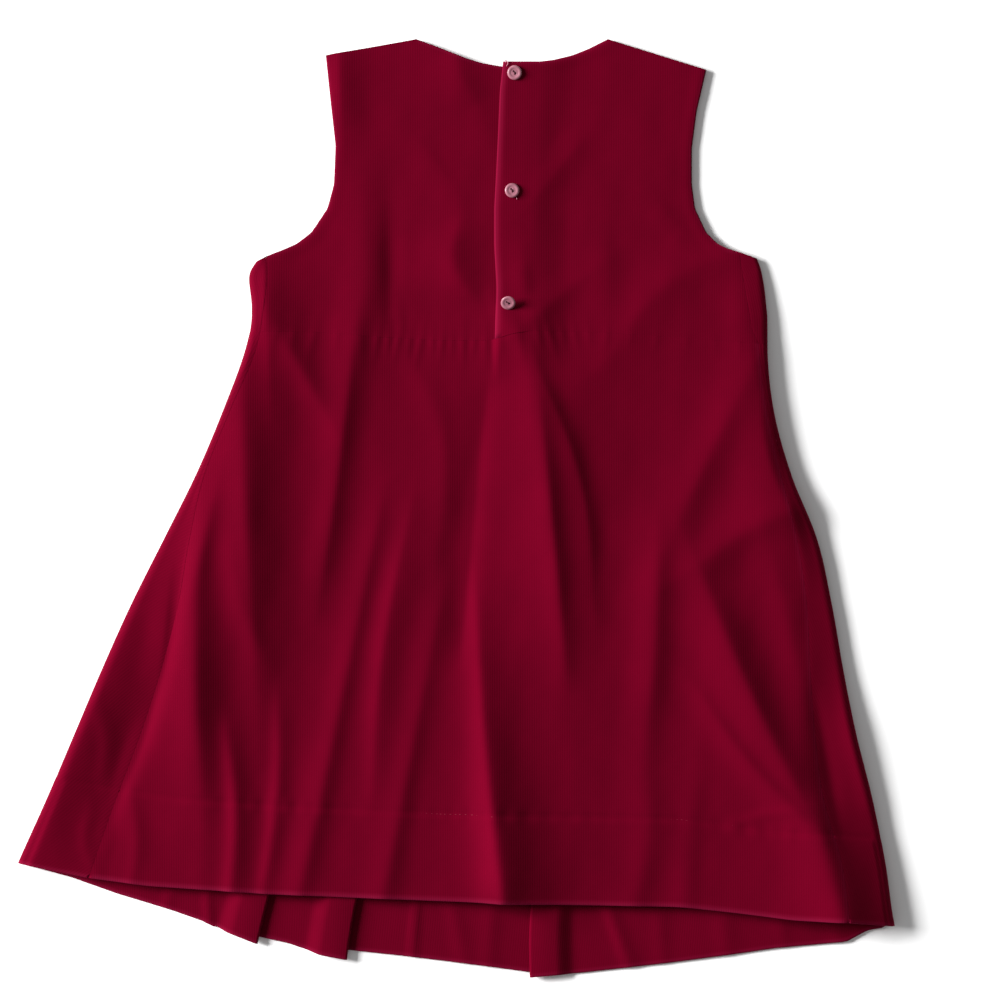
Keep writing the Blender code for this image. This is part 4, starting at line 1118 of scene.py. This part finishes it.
def pleat_depth(y):
    """How much cloth a pleat tucks back at the height y."""
    way = (FRONT_LEFT_FOLD[0].y - y) / (FRONT_LEFT_FOLD[0].y - FRONT_HEM[-1][0].y)
    return PLEAT_DEPTH_WAIST + (PLEAT_DEPTH_HEM - PLEAT_DEPTH_WAIST) * way


row_share = np.linspace(0, 1, FRONT_SKIRT_ROWS + 1)
DOWN = (row_share + ROWS_CROWD * np.sin(math.pi * row_share) / math.pi)[:, None]


def place_pleat(pleat, waist, left_hem, right_hem):
    """A pleat's columns from the waist to the hem. The tucked layer's hem stays inside the others'."""
    offset, deep, z, layer = pleat_section(pleat.on_top)
    over, under = (right_hem, left_hem) if pleat.on_top == "right" else (left_hem, right_hem)
    end_y = (left_hem[-1].y + right_hem[0].y) / 2
    end_x = pleat_edge(pleat.across, end_y) + offset + deep * PLEAT_DEPTH_HEM
    over_y, under_y = y_at(over, end_x), y_at(under, end_x)
    hem_y = np.choose(layer, [over_y, np.maximum(over_y, under_y) + TUCKED_SHORTER, under_y])
    waist_x = pleat_edge(pleat.across, waist[0].y) + offset + deep * PLEAT_DEPTH_WAIST
    y = (1 - DOWN) * y_at(waist, waist_x) + DOWN * hem_y
    x = pleat_edge(pleat.across, y) + offset + deep * pleat_depth(y)
    return np.dstack([x, y, np.broadcast_to(z, x.shape)])


print("pleats are", PLEAT_DEPTH_WAIST, "mm deep at the waist and", PLEAT_DEPTH_HEM, "mm at the hem")

# %% [markdown]
# Between the pleats the cloth lies on the table with faint hollows. The strips, the flat stretches and the
# pleats are put side by side as columns of one grid, and the cut is measured along the cloth.

# %% Between the pleats
def place_flat(left, right, columns, waist, hem):
    """Columns on the table between two others, each from the waist to the hem, with faint hollows."""
    share = np.linspace(0, 1, columns + 2)[None, 1:-1]
    x = left[:, :1] + share * (right[:, :1] - left[:, :1])
    y = (1 - DOWN) * y_at(waist, x[0]) + DOWN * y_at(hem, x[-1])
    rise = sum(fold_height(fold, x, y) for fold in FRONT_CREASES) + floor_swell(x, y)
    fade = smoothstep((x - left[:, :1]) / FLAT_EASE) * smoothstep((right[:, :1] - x) / FLAT_EASE)
    return np.dstack([x, y, FLOOR_LEVEL + rise * fade])


def sides_at(column, top_y, hem_y):
    """A fold or seam of the skirt as one point for each row."""
    y = top_y + (hem_y - top_y) * DOWN[:, 0]
    return np.column_stack([side_x(column, y), y])


print("flat stretches:", FLAT_COLUMNS, "columns")

# %% [markdown]
# From left to right the columns are: the left strip, then by turns a flat stretch and a pleat, and the
# right strip.

# %% Columns of the front skirt
left_fold = sides_at("left_fold", FRONT_LEFT_FOLD[0].y - EDGE_IN, FRONT_HEM[0][0].y)
right_fold = sides_at("right_fold", FRONT_RIGHT_FOLD[0].y - EDGE_IN, FRONT_HEM[-1][-1].y)
left_seam = sides_at("left_seam", BACK_WAIST[0].y - EDGE_IN, BACK_HEM[0].y)
right_seam = sides_at("right_seam", BACK_WAIST[-1].y - EDGE_IN, BACK_HEM[-1].y)
left_strip, left_cut = side_strip(left_fold, left_seam, 1)
right_strip, right_cut = side_strip(right_fold, right_seam, -1)
right_strip, right_cut = right_strip[:, ::-1], right_cut[:, ::-1]
waist = (Point(*left_fold[0]), Point(*right_fold[0]))
stretches = [left_strip]
pleats = [place_pleat(pleat, waist, left_hem, right_hem)
          for pleat, left_hem, right_hem in zip(FRONT_PLEATS, FRONT_HEM[:-1], FRONT_HEM[1:])]
for columns, hem, right in zip(FLAT_COLUMNS, FRONT_HEM, pleats + [right_strip]):
    flat = place_flat(stretches[-1][:, -1], right[:, 0], columns, waist, hem)
    stretches += [flat, right]
points = np.concatenate(stretches, axis=1)[::-1].copy()
print("front skirt has", points.shape[0], "rows and", points.shape[1], "columns")

# %% [markdown]
# The cut is the length along the cloth, so it counts every layer of a pleat. The hem's band and groove show
# on the strips, and the hem underneath is only a little thicker.

# %% Front skirt panel
steps = np.hypot(np.diff(points[..., 0], axis=1), np.diff(points[..., 2], axis=1))
along = np.concatenate([np.zeros((len(points), 1)), np.cumsum(steps, axis=1)], axis=1)
first, last = left_strip.shape[1], points.shape[1] - right_strip.shape[1]
cut = np.dstack([along - along[:, first:first + 1] + points[:, first:first + 1, 0], points[..., 1]])
cut[:, :first] = left_cut[::-1]
shift = cut[:, last - 1:last, 0] - points[:, last - 1:last, 0]
cut[:, last:] = right_cut[::-1]
cut[:, last:, 0] += shift
above_hem = points[..., 1] - points[:1, :, 1]
band = hem_band(above_hem)
upper = np.zeros(points.shape[1])
upper[:STRIP_COLUMNS], upper[-STRIP_COLUMNS:] = 1, 1
points[..., 2] += upper * (HEM_THICK / 2 * band - HEM_GROOVE * groove(above_hem)
                           + stitch_puckers(points[..., 1], above_hem - HEM_DEPTH, STRIP_PUCKER))
points[..., 2] -= upper * seam_sink(points[-1:, :, 1] - points[..., 1])
thickness = CLOTH + (FRONT_HEM_THICK + (HEM_THICK - FRONT_HEM_THICK) * upper) * band
thickness = thickness - HEM_THIN * groove(above_hem)
# painted highlight along the front hem's edge, with some pile wear
wear_and_edge_highlight = FRONT_HIGHLIGHT_AND_WEAR * edge_highlight_and_wear(above_hem, FRONT_HIGHLIGHT_WIDTH)
front_skirt = add_cloth("Front_skirt_panel", points, cut, thickness, wear_and_edge_highlight)
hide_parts("front_skirt")
print("front skirt:", points.shape, "area", round(cloth_area(points), 4))

# %% [markdown]
# ## Buttons
# Three small pearl buttons sit on the right back panel. Each has a raised ring, a dished middle with two
# holes, and a bar of thread through them. The face is one sheet in polar coordinates, because a formula for
# its height by radius and angle makes ring, dish and holes at once.

# %% Buttons
BUTTON_RADIUS, BUTTON_THICK, DISH = 4.5, 1.9, 0.28
RING_START, RING_WIDTH = 2.0, 1.3   # where the dish climbs to the ring
SHOULDER_START, SHOULDER_DROP = 3.5, 0.6
HOLE_OFFSET, HOLE_RADIUS, HOLE_DEPTH = 0.95, 0.5, 0.9
BUTTON_RINGS, BUTTON_SIDES = 40, 64
BUTTON_POLE = 0.02             # radius of the small ring that closes the face and the back
BACK_RADII = (BUTTON_RADIUS, 4.3, 3.6, 3.3, BUTTON_POLE)
BACK_HEIGHTS = (0.85, 0.6, 0.25, 0.0, 0.0)
BUTTON_CLEAR = 0.15            # from the cloth to the button's back
ButtonLook = namedtuple("ButtonLook", "turn tilt_x tilt_y lift")
BUTTON_LOOKS = (ButtonLook(-62, 0.03, 0.04, 0), ButtonLook(-60, -0.03, -0.04, 0),
                ButtonLook(-38, 0.06, 0.5, 1.3))


def button_face(radius, angle):
    """Height of the face: a ring with round shoulders, a dish inside it, and two sunk holes."""
    ring = DISH * smoothstep((radius - RING_START) / RING_WIDTH)
    shoulder = SHOULDER_DROP * np.clip(radius - SHOULDER_START, 0, 1) ** 2
    x, y = radius * np.cos(angle), radius * np.sin(angle)
    hole = sum(np.exp(-(((x - side * HOLE_OFFSET) ** 2 + y ** 2) / HOLE_RADIUS ** 2) ** 2)
               for side in (-1, 1))
    return BUTTON_THICK - DISH + ring - shoulder - HOLE_DEPTH * hole


def tilted(look, px, py, z):
    """Points of a button leaned by the slopes of its look, so that it looks narrower from above."""
    px, py = px / math.hypot(1, look.tilt_x), py / math.hypot(1, look.tilt_y)
    return px, py, z + look.lift + look.tilt_x * px + look.tilt_y * py


def make_button(number, place, look):
    """A closed turned body: the face outwards from the middle, then the rim and the underside inwards."""
    rings, around = BUTTON_RINGS, BUTTON_SIDES
    radius = np.concatenate([np.linspace(BUTTON_POLE, BUTTON_RADIUS, rings), BACK_RADII])[:, None]
    angle = np.linspace(0, 2 * math.pi, around, endpoint=False)[None, :]
    face = button_face(radius[:rings], angle)
    under = np.broadcast_to(np.array(BACK_HEIGHTS)[:, None], (len(BACK_HEIGHTS), around))
    z = np.concatenate([face, under])
    x, y = radius * np.cos(angle), radius * np.sin(angle)
    rows = len(radius)
    index = np.arange(rows * around).reshape(rows, around)
    turned = np.roll(index, -1, axis=1)
    faces = np.stack([index[:-1], index[1:], turned[1:], turned[:-1]], axis=-1).reshape(-1, 4)
    spin = math.radians(look.turn)
    px = x * math.cos(spin) - y * math.sin(spin)
    py = x * math.sin(spin) + y * math.cos(spin)
    edge_x = place.x + BUTTON_RADIUS * np.cos(angle)
    edge_y = place.y + BUTTON_RADIUS * np.sin(angle)
    rest = np.max(surface(edge_x, edge_y) + stand_lift(edge_x, edge_y)) + CLOTH / 2 + BUTTON_CLEAR
    px, py, pz = tilted(look, px, py, rest + z)
    points = np.dstack([px + place.x, py + place.y, pz]).reshape(-1, 3)
    piece = add_piece(f"Button_{number}", points, faces, PEARL)
    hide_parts(f"button_{number}")
    return rest


RESTS = [make_button(number, place, look)
         for number, (place, look) in enumerate(zip(BUTTON_PLACES, BUTTON_LOOKS), start=1)]
print("buttons rest at", [round(float(rest), 2) for rest in RESTS], "mm")

# %% [markdown]
# ## Threads
# Thread is a thin round cord. A circle carried along each path makes it, and all stitches of one kind are
# one mesh, worked out as one array.

# %% Threads
THREAD_SIDES, THREAD_END = 6, 0.35


def add_threads(name, paths, radius, finish):
    """Tubes along paths, an array of paths by points by 3. Each is drawn in at its ends and closed."""
    sides = THREAD_SIDES
    paths = np.asarray(paths, float)
    count, length = paths.shape[:2]
    way = unit(np.gradient(paths, axis=1))
    reference = np.where(np.abs(way[..., 2:]) > 0.9, [1.0, 0.0, 0.0], [0.0, 0.0, 1.0])
    side = unit(np.cross(way, reference))
    up = np.cross(side, way)
    angle = np.linspace(0, 2 * math.pi, sides, endpoint=False)
    taper = np.ones(length)
    taper[0] = taper[-1] = THREAD_END
    around = (np.cos(angle)[:, None] * side[:, :, None] + np.sin(angle)[:, None] * up[:, :, None])
    points = paths[:, :, None] + around * (radius * taper)[None, :, None, None]
    index = np.arange(count * length * sides).reshape(count, length, sides)
    turned = np.roll(index, -1, axis=2)
    faces = np.stack([index[:, :-1], turned[:, :-1], turned[:, 1:], index[:, 1:]], axis=-1).reshape(-1, 4)
    poles = count * length * sides + np.arange(2 * count).reshape(count, 2)
    caps = []
    for row, pole in ((0, poles[:, :1]), (length - 1, poles[:, 1:])):
        ring = index[:, row]
        first, second, third = ring[:, ::2], ring[:, 1::2], np.roll(ring, -2, axis=1)[:, ::2]
        cap = np.stack([first, second, third, np.broadcast_to(pole, first.shape)], axis=-1)
        caps.append(cap if row else cap[..., ::-1])
    everything = np.concatenate([points.reshape(-1, 3), paths[:, [0, -1]].reshape(-1, 3)])
    faces = np.concatenate([faces] + [cap.reshape(-1, 4) for cap in caps])
    piece = add_piece(name, everything, faces, finish)
    return piece


print("threads have", THREAD_SIDES, "sides")

# %% [markdown]
# A bar of two threads crosses each button between its holes, and dips into them at its ends.

# %% Button threads
BAR_OFFSET, BAR_PAST, BAR_RISE, BAR_BEND = 0.16, 0.15, 0.14, 0.7
bars = []
for place, look, rest in zip(BUTTON_PLACES, BUTTON_LOOKS, RESTS):
    spin = math.radians(look.turn)
    for offset in (-BAR_OFFSET, BAR_OFFSET):
        t = np.linspace(-1, 1, 9)
        along = t * (HOLE_OFFSET + BAR_PAST)
        px = along * math.cos(spin) - offset * math.sin(spin)
        py = along * math.sin(spin) + offset * math.cos(spin)
        bar = rest + BUTTON_THICK - DISH + BAR_RISE - BAR_BEND * np.abs(t) ** 5
        px, py, pz = tilted(look, px, py, bar)
        bars.append(np.column_stack([px + place.x, py + place.y, pz]))
add_threads("Button_thread", bars, 0.22, DARK_THREAD)
print(len(bars), "threads across the buttons")

# %% [markdown]
# Ends of sewing thread stick out above the top button and below the middle one. Each is a short path
# that bends to one side and rises in the middle.

# %% Loose ends
t = np.linspace(0, 1, 9)
LOOSE_ENDS = ((28.6, 277.6, 1.7, -0.9, 1.2), (30.2, 277.9, 1.6, -2.9, 0.8), (31.6, 276.6, -0.9, -2.4, 0.6),
              (36.9, 192.9, 0.4, -1.5, 0.2))         # X, Y, how far it runs in X and Y, and its bend
ends = []
for x, y, run_x, run_y, bend in LOOSE_ENDS:
    px, py = x + run_x * t + bend * np.sin(math.pi * t), y + run_y * t + 0.3 * bend * np.sin(5 * t)
    pz = surface(px, py) + stand_lift(px, py) + CLOTH / 2 + 0.4 + 0.5 * np.sin(math.pi * t)
    ends.append(np.column_stack([px, py, pz]))
add_threads("Loose_thread_ends", ends, 0.17, PALE_THREAD)
print(len(ends), "loose ends")

# %% [markdown]
# A row of small stitches catches the hem down. They are about 3 mm apart, but no two gaps are alike. Those
# that would lie beside a side seam are left out.

# %% Hem stitches
STITCH_GAP, STITCH_REACH = 3.1, 0.75   # from one to the next, and half of one's length
STITCH_STAY, SEAM_STAY = 4, 3          # how far they stay inside the hem's ends and the side seams
stitch = np.arange(1, 200)
gaps = STITCH_GAP + 0.5 * np.sin(stitch * 1.7) + 0.3 * np.sin(stitch * 0.61)
middles = np.cumsum(np.concatenate([[BACK_HEM[0].x + STITCH_STAY], gaps]))
middles = middles[middles < BACK_HEM[-1].x - STITCH_STAY]
stitch_x = middles[:, None] + np.linspace(-STITCH_REACH, STITCH_REACH, 5)[None, :]
stitch_y = y_at(BACK_HEM, stitch_x) + HEM_DEPTH + 0.15 * np.sin(stitch_x / 5)
stitch_z = sheet_heights(stitch_x, stitch_y, np.full_like(stitch_x, float(HEM_DEPTH))) + CLOTH / 2 - 0.02
inside = stitch_x > side_x("left_seam", stitch_y) + SEAM_STAY
inside &= stitch_x < side_x("right_seam", stitch_y) - SEAM_STAY
whole = inside.all(axis=1)
add_threads("Hem_stitches", np.dstack([stitch_x, stitch_y, stitch_z])[whole], 0.16, SEAM_THREAD)
print(int(whole.sum()), "hem stitches")

# %% [markdown]
# ## The cloth's panels
# Five panels of cloth were made above, each with its flat cut as its UV map.


print("five cloth panels made")

# %% [markdown]
# ## Size and finish
# The size of the finished dress is printed, so that it can be compared with the rigid model's.

# %% Size and finish
low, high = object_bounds()
print("size:", [round(float(v) * 1000, 1) for v in (high - low)], "mm")
